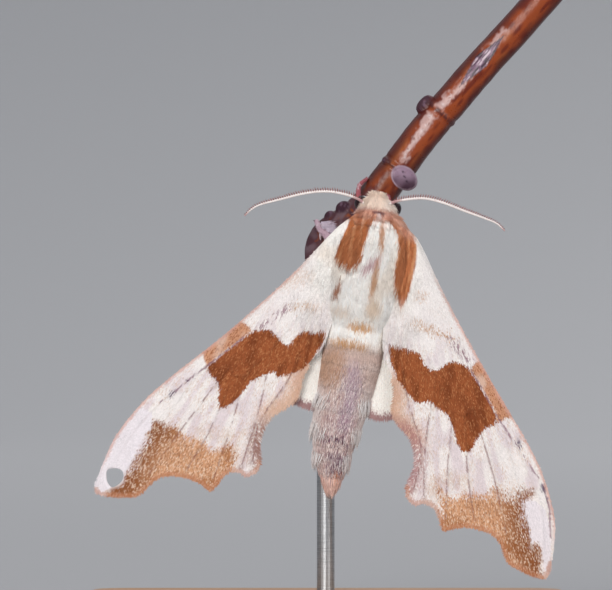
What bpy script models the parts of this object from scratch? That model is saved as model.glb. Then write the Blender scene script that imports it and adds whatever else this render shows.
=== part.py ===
"""Lime hawk moth at rest on a short length of twig, held on a plain display stand, life size.

Sizes are in millimetres until a mesh is made, where MM turns them to metres. The moth is built in
its own frame: u runs to its right-hand side in the view from above its back, v from the top of the
head towards the tail, h up off the back. An empty then tips that frame head up, back to the viewer.
"""

import math

import bmesh
import bpy
from mathutils import Matrix, Vector
from mathutils.geometry import delaunay_2d_cdt

MM = 0.001
GAP = 0.3

# How the moth stands in the world: head top, and the lean of its body
HEAD_X = 5.1
HEAD_Z = 43.4
BODY_Y = -4.0
BODY_LEAN = math.radians(9.3)

# Body forms, one row a station: v, half width, height above and below the middle, middle's u
HEAD_STATIONS = (
    (0.0, 0.75, 0.6, 0.75, -0.2),
    (0.5, 1.27, 1.1, 1.3, -0.03),
    (1.2, 1.78, 1.5, 1.65, 0.12),
    (2.2, 2.15, 1.75, 1.8, 0.25),
    (3.2, 2.0, 1.65, 1.7, 0.3),
)
THORAX_STATIONS = (
    (1.7, 2.1, 1.6, 1.5, 0.25),
    (2.5, 2.75, 2.35, 2.2, 0.42),
    (3.6, 3.65, 3.15, 2.95, 0.4),
    (5.4, 4.15, 3.8, 3.6, 0.28),
    (8.0, 4.4, 4.1, 3.9, 0.1),
    (11.0, 4.1, 3.9, 3.7, 0.05),
    (13.6, 3.5, 3.4, 3.1, 0.0),
    (15.0, 2.6, 2.6, 2.3, 0.0),
)
ABDOMEN_STATIONS = (
    (13.2, 3.0, 2.7, 2.4, 0.0),
    (15.4, 3.4, 3.2, 2.9, 0.0),
    (18.5, 3.25, 3.1, 2.9, -0.05),
    (21.5, 3.0, 2.85, 2.7, -0.25),
    (24.0, 2.6, 2.45, 2.35, -0.4),
    (26.5, 2.1, 2.0, 1.9, -0.4),
    (28.3, 1.6, 1.5, 1.45, -0.2),
    (29.2, 1.15, 1.05, 1.0, -0.08),
    (29.9, 0.7, 0.65, 0.6, 0.0),
)
BODY_SIDES = 20
BODY_RINGS = 13

# Tufts of hair that the outline shows: along the abdomen's sides, and the fan at its tip
TUFT_PLACES = (20.6, 23.3, 26.0)
TUFT_LOCKS = 5
TUFT_SPREAD = math.radians(24)
TUFT_OUT = 0.24
TAIL_START = 28.9
TAIL_LOCKS = 9
TAIL_LENGTH = 1.9
TAIL_LEAN = -0.22
LOCK_LENGTH = 2.7
LOCK_WIDTH = 1.25
LOCK_THICK = 0.6
LOCK_SINK = 0.3

EYE_RADIUS = 0.85
EYE_MIDDLE = 0.12
EYE_PLACE = (1.55, 1.3, -0.8)
PALP_ROUTE = ((0.6, 1.5, -1.3), (0.65, 0.7, -2.0), (0.55, -0.15, -1.85))
PALP_RADII = (0.55, 0.52, 0.32)

# Feelers, from inside the head out to the hooked tip, as u, v, h; the two are held differently
ANTENNA_LEFT = (
    (0.9, 1.5, 0.5), (1.9, 0.9, 0.8), (3.44, 0.62, 1.2), (5.3, 0.66, 1.5), (7.4, 1.22, 1.6),
    (9.7, 2.2, 1.4), (11.5, 3.0, 1.1), (12.3, 3.6, 0.8), (12.9, 4.35, 0.4),
)
ANTENNA_RIGHT = (
    (0.9, 1.2, 0.5), (1.5, 0.66, 0.8), (2.6, 0.2, 1.2), (4.5, -0.24, 1.5), (6.4, -0.13, 1.6),
    (8.6, 0.31, 1.5), (10.9, 0.75, 1.2), (12.1, 1.05, 0.9), (13.05, 1.65, 0.5),
)
ANTENNA_RADIUS = 0.3
ANTENNA_TIP_RADIUS = 0.14

# Forewing, the unworn one: control points of its outline, then its veins, as u, v
FOREWING_OUTLINE = (
    (2.2, 3.6), (4.35, 3.75), (7.7, 8.4), (10.45, 12.1), (14.4, 17.05), (18.7, 22.2), (21.0, 25.5),
    (22.7, 29.3), (23.1, 32.0), (23.1, 33.9), (22.85, 35.25), (21.9, 35.4), (20.1, 34.95),
    (18.8, 34.4), (18.05, 33.2), (17.3, 32.2), (16.0, 31.6), (14.0, 31.5), (12.6, 31.9),
    (11.9, 32.2), (11.4, 31.5), (10.9, 30.5), (10.3, 30.0), (9.4, 29.8), (8.6, 30.1),
    (7.7, 29.5), (7.5, 28.6), (7.95, 26.9), (7.85, 25.3), (7.1, 23.6), (5.9, 22.6),
    (4.95, 21.4), (4.8, 19.4), (4.3, 18.0), (3.4, 16.4), (2.7, 14.2), (2.2, 9.0),
)
FOREWING_VEINS = (
    ((3.2, 5.0), (8.0, 10.6), (13.1, 17.3), (15.8, 20.6), (18.3, 23.6), (21.0, 28.0), (22.2, 33.4)),
    ((15.8, 20.6), (18.6, 27.0), (21.3, 33.8)),
    ((12.7, 19.6), (16.0, 26.3), (18.5, 32.6)),
    ((12.7, 19.6), (12.0, 20.4), (10.6, 20.2)),
    ((12.0, 20.4), (13.3, 26.3), (14.7, 30.7)),
    ((3.4, 7.0), (5.8, 12.0), (8.6, 17.2), (10.6, 20.2), (11.2, 26.0), (11.85, 31.2)),
    ((8.6, 17.2), (8.6, 23.4), (9.3, 29.2)),
    ((3.4, 10.0), (4.4, 14.5), (6.2, 20.0), (8.3, 24.6), (8.2, 28.6)),
)
# The worn wing: its leading edge drawn in as far as the tip, and the tip held a little higher
WORN_COSTA_PULL = 1.22
WORN_COSTA_END = 33.4
WORN_COSTA_POWER = 6
WORN_TIP_LIFT = 1.25
WORN_REACH = 23.0
COSTA_START = 2.2
COSTA_SLOPE = 0.65
# A hole worn through it near the tip, as u, v where the worn wing has it
WORN_HOLE = (
    (22.4, 31.8), (21.6, 31.5), (21.0, 31.6), (20.7, 32.1), (20.85, 32.8), (21.6, 33.45),
    (22.15, 33.1), (22.4, 32.5),
)

# Hindwing, mostly under the forewing: only the strip beside the abdomen shows
HINDWING_OUTLINE = (
    (2.2, 8.0), (4.0, 8.4), (7.0, 11.6), (10.5, 15.5), (13.0, 18.4), (13.6, 20.4), (12.6, 22.0),
    (10.0, 22.9), (7.4, 22.3), (5.2, 22.0), (3.8, 22.3), (2.6, 22.0), (1.9, 20.4), (1.9, 16.0),
    (2.0, 12.0),
)
HINDWING_VEINS = (
    ((3.6, 10.2), (7.4, 14.6), (12.6, 19.8)),
    ((3.4, 11.6), (6.6, 16.6), (10.0, 21.8)),
    ((3.4, 12.4), (5.4, 17.4), (7.2, 21.5)),
    ((3.2, 13.4), (4.3, 17.8), (4.9, 21.2)),
)

WING_THICK = 0.5
WING_ROOT_U = 3.0
WING_ROOT_H = 1.6
WING_DROOP = 0.17
WING_ARCH = 0.5
COSTA_CURL = 0.6
COSTA_CURL_POWER = 6
HINDWING_UNDER = 1.1
VEIN_HEIGHT = 0.22
VEIN_HALF_WIDTH = 0.38
EDGE_STEP = 1.0
VEIN_STEP = 1.8
SHEET_STEP = 2.3

# Legs: hip inside the thorax, knee, ankle and foot, as u, v, h; the foot's end bites the twig
LEG_ROUTES = {
    "front_left": ((-1.0, 3.6, -2.2), (-1.5, 2.4, -4.8), (-2.05, -0.3, -6.5), (-1.25, -1.5, -8.2)),
    "front_right": ((1.0, 3.6, -2.2), (1.5, 2.4, -4.8), (1.3, 0.8, -6.2), (0.9, -0.3, -7.2)),
    "middle_left": ((-2.2, 6.2, -2.6), (-3.5, 5.6, -4.9), (-5.2, 4.4, -6.0), (-5.7, 3.7, -8.0)),
    "middle_right": ((2.3, 6.2, -2.6), (3.2, 5.4, -5.2), (1.2, 4.0, -6.8), (-0.9, 3.2, -8.2)),
    "hind_left": ((-2.2, 9.6, -2.6), (-5.0, 11.4, -4.9), (-6.6, 9.6, -6.4), (-5.8, 8.2, -8.4)),
    "hind_right": ((2.2, 9.6, -2.6), (3.0, 11.6, -5.4), (0.2, 10.4, -7.0), (-2.2, 9.2, -8.3)),
}
LEG_RADII = (0.6, 0.5, 0.34, 0.26)
SPUR_ROUTE = ((-4.9, 4.5, -5.9), (-4.7, 5.0, -6.2), (-4.5, 5.7, -6.3))
SPUR_RADII = (0.3, 0.28, 0.2)

# Twig, from the cut end past the top of the view to the cut end over the stand, as x, z
TWIG_ROUTE = (
    (22.8, 64.4), (18.9, 60.0), (16.6, 57.5), (14.3, 54.9), (12.7, 53.0), (11.1, 51.2),
    (9.6, 49.4), (8.3, 47.7), (7.2, 46.2), (6.2, 44.9), (5.1, 43.4), (3.9, 42.0), (2.6, 40.8),
    (1.3, 40.0), (0.1, 39.1), (-0.45, 38.0), (-0.5, 36.8), (-0.35, 35.5), (-0.2, 34.5), (-0.2, 33.5),
)
TWIG_Y = 4.5
TWIG_RADIUS = 1.85
TWIG_TOP_RADIUS = 1.66
TWIG_POINTS = 36
TWIG_LEAN = math.radians(40)
# Swellings on it: x, z, off the axis towards the viewer, half width, half depth, half length
TWIG_KNOTS = (
    (9.8, 52.6, 0.3, 0.6, 0.8, 1.1),
    (6.15, 46.6, 0.8, 0.75, 0.7, 0.5),
    (7.75, 45.05, 1.15, 1.5, 1.0, 1.15),
    (1.7, 41.85, 0.7, 0.92, 0.85, 0.92),
    (0.3, 41.1, 0.5, 0.68, 0.65, 0.68),
)

STAND_X = -0.2
BASE_WIDTH = 49.0
BASE_DEPTH = 30.0
BASE_THICK = 3.0
BASE_CORNER = 4.0
BASE_ROUND = 0.6
ROD_RADIUS = 0.9
ROD_DEPTH = 1.5
SAUCER_RADIUS = 2.2
SAUCER_LIP = 0.5
SAUCER_FLARE = 1.6
ROUND_SIDES = 24

MATERIALS = {
    "fur": ((0.72, 0.55, 0.45), 0.9, 0.0),
    "wing_scales": ((0.8, 0.68, 0.58), 0.85, 0.0),
    "hindwing_scales": ((0.6, 0.36, 0.16), 0.85, 0.0),
    "eye": ((0.05, 0.03, 0.03), 0.2, 0.0),
    "antenna": ((0.85, 0.75, 0.72), 0.7, 0.0),
    "leg": ((0.6, 0.42, 0.42), 0.8, 0.0),
    "bark": ((0.35, 0.1, 0.05), 0.4, 0.0),
    "stand_wood": ((0.5, 0.38, 0.26), 0.6, 0.0),
    "stand_metal": ((0.6, 0.6, 0.6), 0.35, 1.0),
}


def clear_scene():
    for thing in list(bpy.data.objects):
        bpy.data.objects.remove(thing, do_unlink=True)


def new_collection(name):
    collection = bpy.data.collections.new(name)
    bpy.context.scene.collection.children.link(collection)
    return collection


def material(name):
    """The named material, made the first time that it is asked for."""
    found = bpy.data.materials.get(name)
    if found:
        return found
    colour, roughness, metallic = MATERIALS[name]
    made = bpy.data.materials.new(name)
    made.use_nodes = True
    shader = made.node_tree.nodes["Principled BSDF"]
    shader.inputs["Base Color"].default_value = (*colour, 1.0)
    shader.inputs["Roughness"].default_value = roughness
    shader.inputs["Metallic"].default_value = metallic
    return made


def spline(rows, count):
    """Catmull-Rom through rows of numbers, read at a steady spacing of their own order."""
    last = len(rows) - 1
    for step in range(count):
        place = last * step / (count - 1)
        index = min(int(place), last - 1)
        t = place - index
        around = [rows[max(0, min(last, index + k))] for k in (-1, 0, 1, 2)]
        yield tuple(
            0.5 * (2 * b + (c - a) * t + (2 * a - 5 * b + 4 * c - d) * t * t
                   + (3 * b - a - 3 * c + d) * t ** 3)
            for a, b, c, d in zip(*around)
        )


def even_steps(rows, step, closed=False):
    """Points about one step apart along the smooth line through rows."""
    rows = list(rows)
    if closed:
        rows = rows[-1:] + rows + rows[:2]
    fine = [Vector(row) for row in spline(rows, 24 * len(rows))]
    if closed:
        span = 24 * len(rows) - 1
        start = round(span / (len(rows) - 1))
        fine = fine[start:span - start + 1]
    lengths = [0.0]
    for a, b in zip(fine, fine[1:]):
        lengths.append(lengths[-1] + (b - a).length)
    count = max(2, round(lengths[-1] / step))
    picked = []
    index = 0
    for k in range(count + (0 if closed else 1)):
        wanted = lengths[-1] * k / count
        while index < len(fine) - 2 and lengths[index + 1] < wanted:
            index += 1
        part = (wanted - lengths[index]) / max(lengths[index + 1] - lengths[index], 1e-9)
        picked.append(fine[index].lerp(fine[index + 1], min(part, 1.0)))
    return picked


def mesh_object(name, bm, slot, collection, parent=None):
    """An object from a bmesh in millimetres."""
    bmesh.ops.scale(bm, vec=(MM, MM, MM), verts=bm.verts)
    bmesh.ops.recalc_face_normals(bm, faces=bm.faces)
    mesh = bpy.data.meshes.new(name)
    bm.to_mesh(mesh)
    bm.free()
    mesh.materials.append(material(slot))
    thing = bpy.data.objects.new(name, mesh)
    thing.parent = parent
    collection.objects.link(thing)
    return thing


def as_cutter(thing):
    thing.hide_render = True
    thing.display_type = "WIRE"
    return thing


def moth_point(u, v, h):
    """A place on the moth as x, y, z in its own frame, in millimetres."""
    return Vector((u, -h, -v))


def body_form(name, stations, slot, collection, parent, grow=0.0):
    """A soft body form lofted through its stations, closed with a low dome at both ends."""
    rows = list(spline(stations, BODY_RINGS))
    bm = bmesh.new()
    rings = []
    for index, (v, half, above, below, middle) in enumerate(rows):
        if index == 0:
            v -= grow
        if index == len(rows) - 1:
            v += grow
        ring = []
        for k in range(BODY_SIDES):
            turn = 2 * math.pi * k / BODY_SIDES
            height = (above if math.sin(turn) > 0 else below) + grow
            place = moth_point(middle + (half + grow) * math.cos(turn), v, height * math.sin(turn))
            ring.append(bm.verts.new(place))
        rings.append(ring)
    for one, two in zip(rings, rings[1:]):
        for k in range(BODY_SIDES):
            after = (k + 1) % BODY_SIDES
            bm.faces.new((one[k], one[after], two[after], two[k]))
    for ring, side in ((rings[0], -1), (rings[-1], 1)):
        centre = sum((vert.co for vert in ring), Vector()) / BODY_SIDES
        dome = (ring[0].co - centre).length * 0.3
        tip = bm.verts.new(centre + moth_point(0, side * dome, 0))
        for k in range(BODY_SIDES):
            bm.faces.new((ring[k], ring[(k + 1) % BODY_SIDES], tip))
    return mesh_object(name, bm, slot, collection, parent)


def tube(name, points, radii, slot, collection, parent=None, bevel_resolution=2):
    """A round tapering rod with closed ends: a bevelled curve made into a mesh."""
    curve = bpy.data.curves.new(name, "CURVE")
    curve.dimensions = "3D"
    curve.bevel_depth = MM
    curve.bevel_resolution = bevel_resolution
    curve.use_fill_caps = True
    line = curve.splines.new("POLY")
    line.points.add(len(points) - 1)
    for point, place, radius in zip(line.points, points, radii):
        point.co = (*(Vector(place) * MM), 1.0)
        point.radius = radius
    rail = bpy.data.objects.new(name + "_line", curve)
    rail.parent = parent
    collection.objects.link(rail)
    bpy.context.view_layer.update()
    mesh = bpy.data.meshes.new_from_object(rail.evaluated_get(bpy.context.evaluated_depsgraph_get()))
    bpy.data.objects.remove(rail, do_unlink=True)
    bm = bmesh.new()
    bm.from_mesh(mesh)
    bmesh.ops.remove_doubles(bm, verts=bm.verts, dist=0.00002)
    bmesh.ops.scale(bm, vec=(1 / MM, 1 / MM, 1 / MM), verts=bm.verts)
    return mesh_object(name, bm, slot, collection, parent)


def keep_largest(bm):
    """Leave only the biggest of a mesh's separate surfaces."""
    left = set(bm.verts)
    groups = []
    while left:
        group = {left.pop()}
        edge = list(group)
        while edge:
            vert = edge.pop()
            for link in vert.link_edges:
                other = link.other_vert(vert)
                if other in left:
                    left.discard(other)
                    group.add(other)
                    edge.append(other)
        groups.append(group)
    biggest = max(groups, key=len)
    drop = [vert for group in groups if group is not biggest for vert in group]
    bmesh.ops.delete(bm, geom=drop, context="VERTS")


def combine(thing, others, operation):
    """Apply a Boolean of thing with each other object in turn."""
    for other in others:
        step = thing.modifiers.new(operation.title(), "BOOLEAN")
        step.operation = operation
        step.object = other
    bake(thing)


def bake(thing):
    """Apply every modifier of thing, and keep its largest closed surface."""
    bpy.context.view_layer.update()
    depsgraph = bpy.context.evaluated_depsgraph_get()
    mesh = bpy.data.meshes.new_from_object(thing.evaluated_get(depsgraph))
    thing.modifiers.clear()
    bm = bmesh.new()
    bm.from_mesh(mesh)
    bmesh.ops.remove_doubles(bm, verts=bm.verts, dist=0.000002)
    keep_largest(bm)
    bm.to_mesh(mesh)
    bm.free()
    thing.data = mesh


def fuse(thing, pieces):
    """Join a collection of closed pieces to thing as one closed surface."""
    group = new_collection(thing.name + "_pieces")
    for piece in pieces:
        for holder in list(piece.users_collection):
            holder.objects.unlink(piece)
        group.objects.link(piece)
    step = thing.modifiers.new("Fuse", "BOOLEAN")
    step.operation = "UNION"
    step.solver = "MANIFOLD"
    step.operand_type = "COLLECTION"
    step.collection = group
    bake(thing)
    for piece in pieces:
        bpy.data.objects.remove(piece, do_unlink=True)
    bpy.data.collections.remove(group)


def station_at(stations, v):
    """Half width, heights and middle of a body form at one v, read between its stations."""
    for low, high in zip(stations, stations[1:]):
        if v <= high[0]:
            part = (v - low[0]) / (high[0] - low[0])
            return [a + (b - a) * part for a, b in zip(low[1:], high[1:])]
    return list(high[1:])


def lock(name, root, along, across, length, collection, parent):
    """A flat tapered lock of hair: a four-sided loft from its root to a point."""
    out = across.cross(along).normalized()
    bm = bmesh.new()
    rings = []
    for reach, share in ((0.0, 0.75), (0.4, 1.0), (0.75, 0.65)):
        middle = root + along * (length * reach)
        wide = across * (0.5 * LOCK_WIDTH * share)
        thick = out * (0.5 * LOCK_THICK * share)
        corners = (middle + wide, middle + thick, middle - wide, middle - thick)
        rings.append([bm.verts.new(place) for place in corners])
    for one, two in zip(rings, rings[1:]):
        for k in range(4):
            bm.faces.new((one[k], one[(k + 1) % 4], two[(k + 1) % 4], two[k]))
    bm.faces.new(rings[0])
    tip = bm.verts.new(root + along * length)
    for k in range(4):
        bm.faces.new((rings[-1][k], rings[-1][(k + 1) % 4], tip))
    return mesh_object(name, bm, "fur", collection, parent)


def abdomen_locks(collection, parent):
    """The tufts at the sides of the abdomen and the fan at its tip, rooted well inside it."""
    locks = []

    def add_lock(v, turn, tail_lean, length):
        half, above, below, middle = station_at(ABDOMEN_STATIONS, v)
        height = above if math.sin(turn) > 0 else below
        outward = moth_point(math.cos(turn), 0, math.sin(turn))
        surface = moth_point(middle + half * math.cos(turn), v, height * math.sin(turn))
        along = (moth_point(0, 1, 0) + outward * tail_lean).normalized()
        across = moth_point(-math.sin(turn), 0, math.cos(turn))
        root = surface - outward * LOCK_SINK - along * (0.15 * length)
        locks.append(lock(f"lock_{len(locks)}", root, along, across, length, collection, parent))

    for v in TUFT_PLACES:
        for facing in (0.0, math.pi):
            for k in range(TUFT_LOCKS):
                turn = facing + TUFT_SPREAD * (k - (TUFT_LOCKS - 1) / 2)
                add_lock(v + 0.3 * (k % 2), turn, TUFT_OUT, LOCK_LENGTH * (1 - 0.08 * (k % 3)))
    for k in range(TAIL_LOCKS):
        turn = 2 * math.pi * (k + 0.25) / TAIL_LOCKS
        add_lock(TAIL_START + 0.2 * (k % 2), turn, TAIL_LEAN, TAIL_LENGTH + 0.2 * (k % 3))
    return locks


def chord_share(u, v):
    """0 at the body and 1 at the leading edge of the wings."""
    return min(1.0, max(0.0, u) / (COSTA_START + COSTA_SLOPE * v))


def wing_height(u, v):
    """How far the wing's middle surface lies above the middle of the body."""
    share = chord_share(u, v)
    roof = WING_ROOT_H - WING_DROOP * (u - WING_ROOT_U)
    return roof + WING_ARCH * math.sin(math.pi * share) - COSTA_CURL * share ** COSTA_CURL_POWER


def worn(u, v):
    """A point of the unworn wing moved to where the worn one has it."""
    pull = WORN_COSTA_PULL * chord_share(u, v) ** 2 * (1 - (v / WORN_COSTA_END) ** WORN_COSTA_POWER)
    lift = WORN_TIP_LIFT * (max(0.0, u) / WORN_REACH) ** 3
    return u - pull, v - lift


def distance_to_lines(point, lines):
    nearest = 1e9
    for line in lines:
        for a, b in zip(line, line[1:]):
            along = b - a
            part = max(0.0, min(1.0, (point - a).dot(along) / max(along.length_squared, 1e-12)))
            nearest = min(nearest, (point - a - along * part).length)
    return nearest


def wing_sheet(name, outline, veins, side, under, slot, collection, parent):
    """A thin wing: a triangle sheet inside its outline, creased up along its veins, then thickened."""
    shift = worn if side < 0 else (lambda u, v: (u, v))
    edge = even_steps([shift(u, v) for u, v in outline], EDGE_STEP, closed=True)
    lines = [even_steps([shift(u, v) for u, v in vein], VEIN_STEP) for vein in veins]
    rim = edge + edge[:1]
    points = list(edge)
    constraints = [(k, (k + 1) % len(edge)) for k in range(len(edge))]
    for line in lines:
        first = len(points)
        points += line
        constraints += [(first + k, first + k + 1) for k in range(len(line) - 1)]

    def add_free(point, reach):
        clear = distance_to_lines(point, lines) > VEIN_HALF_WIDTH * 0.95
        if clear and distance_to_lines(point, [rim]) > reach:
            if all((point - other).length > reach for other in points):
                points.append(point)

    for line in lines:
        for a, b in zip(line, line[1:]):
            across = (b - a).orthogonal().normalized() * VEIN_HALF_WIDTH
            add_free(a.lerp(b, 0.5) + across, VEIN_HALF_WIDTH * 0.9)
            add_free(a.lerp(b, 0.5) - across, VEIN_HALF_WIDTH * 0.9)
    widest = max(point.x for point in edge)
    longest = max(point.y for point in edge)
    for row in range(int(longest / SHEET_STEP) + 1):
        for column in range(int(widest / SHEET_STEP) + 1):
            offset = 0.5 * (row % 2)
            add_free(Vector(((column + offset) * SHEET_STEP, row * SHEET_STEP)), SHEET_STEP * 0.45)

    flat, _, faces, _, _, _ = delaunay_2d_cdt(points, constraints, [list(range(len(edge)))], 1, 1e-4)
    bm = bmesh.new()
    verts = []
    for point in flat:
        ridge = VEIN_HEIGHT * max(0.0, 1 - distance_to_lines(point, lines) / VEIN_HALF_WIDTH)
        height = wing_height(point.x, point.y) - under + ridge
        verts.append(bm.verts.new(moth_point(side * point.x, point.y, height)))
    for face in faces:
        bm.faces.new([verts[k] for k in face])
    loose = [vert for vert in bm.verts if not vert.link_faces]
    bmesh.ops.delete(bm, geom=loose, context="VERTS")
    thing = mesh_object(name, bm, slot, collection, parent)
    shell = thing.modifiers.new("Thickness", "SOLIDIFY")
    shell.thickness = WING_THICK * MM
    shell.offset = 0.0
    return thing


def ball(name, centre, halves, slot, collection, parent=None, segments=16, rings=10, lean=0.0):
    """A ball or a flattened pad, by its half sizes along x, y and z, leant over about y."""
    bm = bmesh.new()
    bmesh.ops.create_uvsphere(bm, u_segments=segments, v_segments=rings, radius=1.0)
    bmesh.ops.scale(bm, vec=halves, verts=bm.verts)
    bmesh.ops.rotate(bm, matrix=Matrix.Rotation(lean, 3, "Y"), verts=bm.verts)
    bmesh.ops.translate(bm, vec=centre, verts=bm.verts)
    return mesh_object(name, bm, slot, collection, parent)


def build_body(parts, cutters, moth):
    """Head with its eyes, thorax and abdomen. Gives the grown copies that cut their neighbours."""
    grown_thorax = as_cutter(body_form("thorax_grown", THORAX_STATIONS, "fur", cutters, moth, GAP))
    grown_head = as_cutter(body_form("head_grown", HEAD_STATIONS, "fur", cutters, moth, GAP))
    grown_abdomen = as_cutter(body_form("abdomen_grown", ABDOMEN_STATIONS, "fur", cutters, moth, GAP))
    thorax = body_form("thorax", THORAX_STATIONS, "fur", parts, moth)
    abdomen = body_form("abdomen", ABDOMEN_STATIONS, "fur", parts, moth)
    combine(abdomen, [grown_thorax], "DIFFERENCE")
    fuse(abdomen, abdomen_locks(cutters, moth))
    head = body_form("head", HEAD_STATIONS, "fur", parts, moth)
    sockets = []
    for side, word in ((-1, "left"), (1, "right")):
        u, v, h = EYE_PLACE
        centre = moth_point(EYE_MIDDLE + side * u, v, h)
        ball("eye_" + word, centre, (EYE_RADIUS,) * 3, "eye", parts, moth)
        socket = ball("socket_" + word, centre, (EYE_RADIUS + GAP,) * 3, "eye", cutters, moth)
        sockets.append(as_cutter(socket))
    combine(head, [grown_thorax] + sockets, "DIFFERENCE")
    combine(thorax, sockets, "DIFFERENCE")
    return grown_head, grown_thorax, grown_abdomen, sockets


def build_feelers(parts, moth, grown_head, grown_thorax, sockets):
    """Antennae and labial palps, cut back to the face of the head."""
    for side, word, route in ((-1, "left", ANTENNA_LEFT), (1, "right", ANTENNA_RIGHT)):
        rows = list(spline(route, 22))
        points = [moth_point(side * u, v, h) for u, v, h in rows]
        last = len(rows) - 1
        radii = [ANTENNA_RADIUS + (ANTENNA_TIP_RADIUS - ANTENNA_RADIUS) * (k / last) ** 3
                 for k in range(len(rows))]
        feeler = tube("antenna_" + word, points, radii, "antenna", parts, moth)
        combine(feeler, [grown_head], "DIFFERENCE")
        rows = list(spline([(*place, radius) for place, radius in zip(PALP_ROUTE, PALP_RADII)], 7))
        points = [moth_point(side * u, v, h) for u, v, h, _ in rows]
        palp = tube("palp_" + word, points, [row[3] for row in rows], "fur", parts, moth)
        combine(palp, [grown_head, grown_thorax] + sockets, "DIFFERENCE")


def wear_hole(cutters, moth):
    """A prism through the left forewing, in the shape of the worn hole."""
    height = wing_height(*WORN_HOLE[0])
    bm = bmesh.new()
    low = [bm.verts.new(moth_point(-u, v, height - 2)) for u, v in WORN_HOLE]
    floor = bm.faces.new(low)
    lifted = bmesh.ops.extrude_face_region(bm, geom=[floor])
    raised = [thing for thing in lifted["geom"] if isinstance(thing, bmesh.types.BMVert)]
    bmesh.ops.translate(bm, vec=moth_point(0, 0, 4), verts=raised)
    return as_cutter(mesh_object("worn_hole", bm, "wing_scales", cutters, moth))


def build_wings(parts, cutters, moth, grown_thorax, grown_abdomen):
    for side, word in ((-1, "left"), (1, "right")):
        for kind, outline, veins, under, slot in (
            ("forewing", FOREWING_OUTLINE, FOREWING_VEINS, 0.0, "wing_scales"),
            ("hindwing", HINDWING_OUTLINE, HINDWING_VEINS, HINDWING_UNDER, "hindwing_scales"),
        ):
            wing = wing_sheet(f"{kind}_{word}", outline, veins, side, under, slot, parts, moth)
            trims = [grown_thorax, grown_abdomen]
            if wing.name == "forewing_left":
                trims.append(wear_hole(cutters, moth))
            combine(wing, trims, "DIFFERENCE")


def twig_points():
    return [Vector((x, TWIG_Y, z)) for x, z in spline(TWIG_ROUTE, TWIG_POINTS)]


def twig_form(name, collection, grow=0.0):
    """The twig with its leaf scar and knots fused on."""
    points = twig_points()
    thicker = TWIG_RADIUS - TWIG_TOP_RADIUS
    radii = [TWIG_TOP_RADIUS + thicker * min(1.0, 2 * k / TWIG_POINTS) + grow for k in range(len(points))]
    twig = tube(name, points, radii, "bark", collection, None, 4)
    knots = []
    for index, (x, z, forward, *halves) in enumerate(TWIG_KNOTS):
        centre = Vector((x, TWIG_Y - forward, z))
        halves = [half + grow for half in halves]
        knots.append(ball(f"{name}_knot_{index}", centre, halves, "bark", collection, None, 12, 8, TWIG_LEAN))
    combine(twig, knots, "UNION")
    for knot in knots:
        bpy.data.objects.remove(knot, do_unlink=True)
    return twig


def build_legs(parts, moth, grown_thorax, grown_twig):
    """Six legs that hold the twig, cut back to the thorax and to the bark."""
    for word, route in LEG_ROUTES.items():
        rows = [(*place, radius) for place, radius in zip(route, LEG_RADII)]
        rows = list(spline(rows, 12))
        points = [moth_point(u, v, h) for u, v, h, _ in rows]
        leg = tube("leg_" + word, points, [row[3] for row in rows], "leg", parts, moth)
        if word == "middle_left":
            spur_points = [moth_point(*place) for place in SPUR_ROUTE]
            spur = tube("spur", spur_points, SPUR_RADII, "leg", parts, moth)
            combine(leg, [spur], "UNION")
            bpy.data.objects.remove(spur, do_unlink=True)
        combine(leg, [grown_thorax, grown_twig], "DIFFERENCE")


def build_stand(parts, cutters):
    """A flat base with rounded corners and one rod with a saucer under the twig's cut end."""
    top = TWIG_ROUTE[-1][1] - GAP
    profile = (
        (0.0, top), (SAUCER_RADIUS, top), (SAUCER_RADIUS, top - SAUCER_LIP),
        (ROD_RADIUS, top - SAUCER_FLARE), (ROD_RADIUS, ROD_DEPTH), (0.0, ROD_DEPTH),
    )
    bm = bmesh.new()
    verts = [bm.verts.new((x, 0, z)) for x, z in profile]
    for a, b in zip(verts, verts[1:]):
        bm.edges.new((a, b))
    rod = mesh_object("stand_rod", bm, "stand_metal", parts)
    rod.location = (STAND_X * MM, TWIG_Y * MM, 0)
    turn = rod.modifiers.new("Turn", "SCREW")
    turn.steps = ROUND_SIDES
    turn.render_steps = ROUND_SIDES
    turn.use_merge_vertices = True
    turn.merge_threshold = 0.00001

    bm = bmesh.new()
    bmesh.ops.create_cube(bm, size=1.0)
    bmesh.ops.scale(bm, vec=(BASE_WIDTH, BASE_DEPTH, BASE_THICK), verts=bm.verts)
    bmesh.ops.translate(bm, vec=(0, 0, BASE_THICK / 2), verts=bm.verts)
    upright = [edge for edge in bm.edges if abs(edge.verts[0].co.z - edge.verts[1].co.z) > 1]
    bmesh.ops.bevel(bm, geom=upright, offset=BASE_CORNER, segments=6, profile=0.5, affect="EDGES")
    rim = [edge for edge in bm.edges if min(vert.co.z for vert in edge.verts) > BASE_THICK - 0.01]
    bmesh.ops.bevel(bm, geom=rim, offset=BASE_ROUND, segments=2, profile=0.5, affect="EDGES")
    base = mesh_object("stand_base", bm, "stand_wood", parts)
    bm = bmesh.new()
    bmesh.ops.create_cone(
        bm, cap_ends=True, segments=ROUND_SIDES,
        radius1=ROD_RADIUS + GAP, radius2=ROD_RADIUS + GAP, depth=2 * BASE_THICK,
    )
    lift = ROD_DEPTH - GAP + BASE_THICK
    bmesh.ops.translate(bm, vec=(STAND_X, TWIG_Y, lift), verts=bm.verts)
    hole = as_cutter(mesh_object("rod_hole", bm, "stand_wood", cutters))
    combine(base, [hole], "DIFFERENCE")


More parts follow.
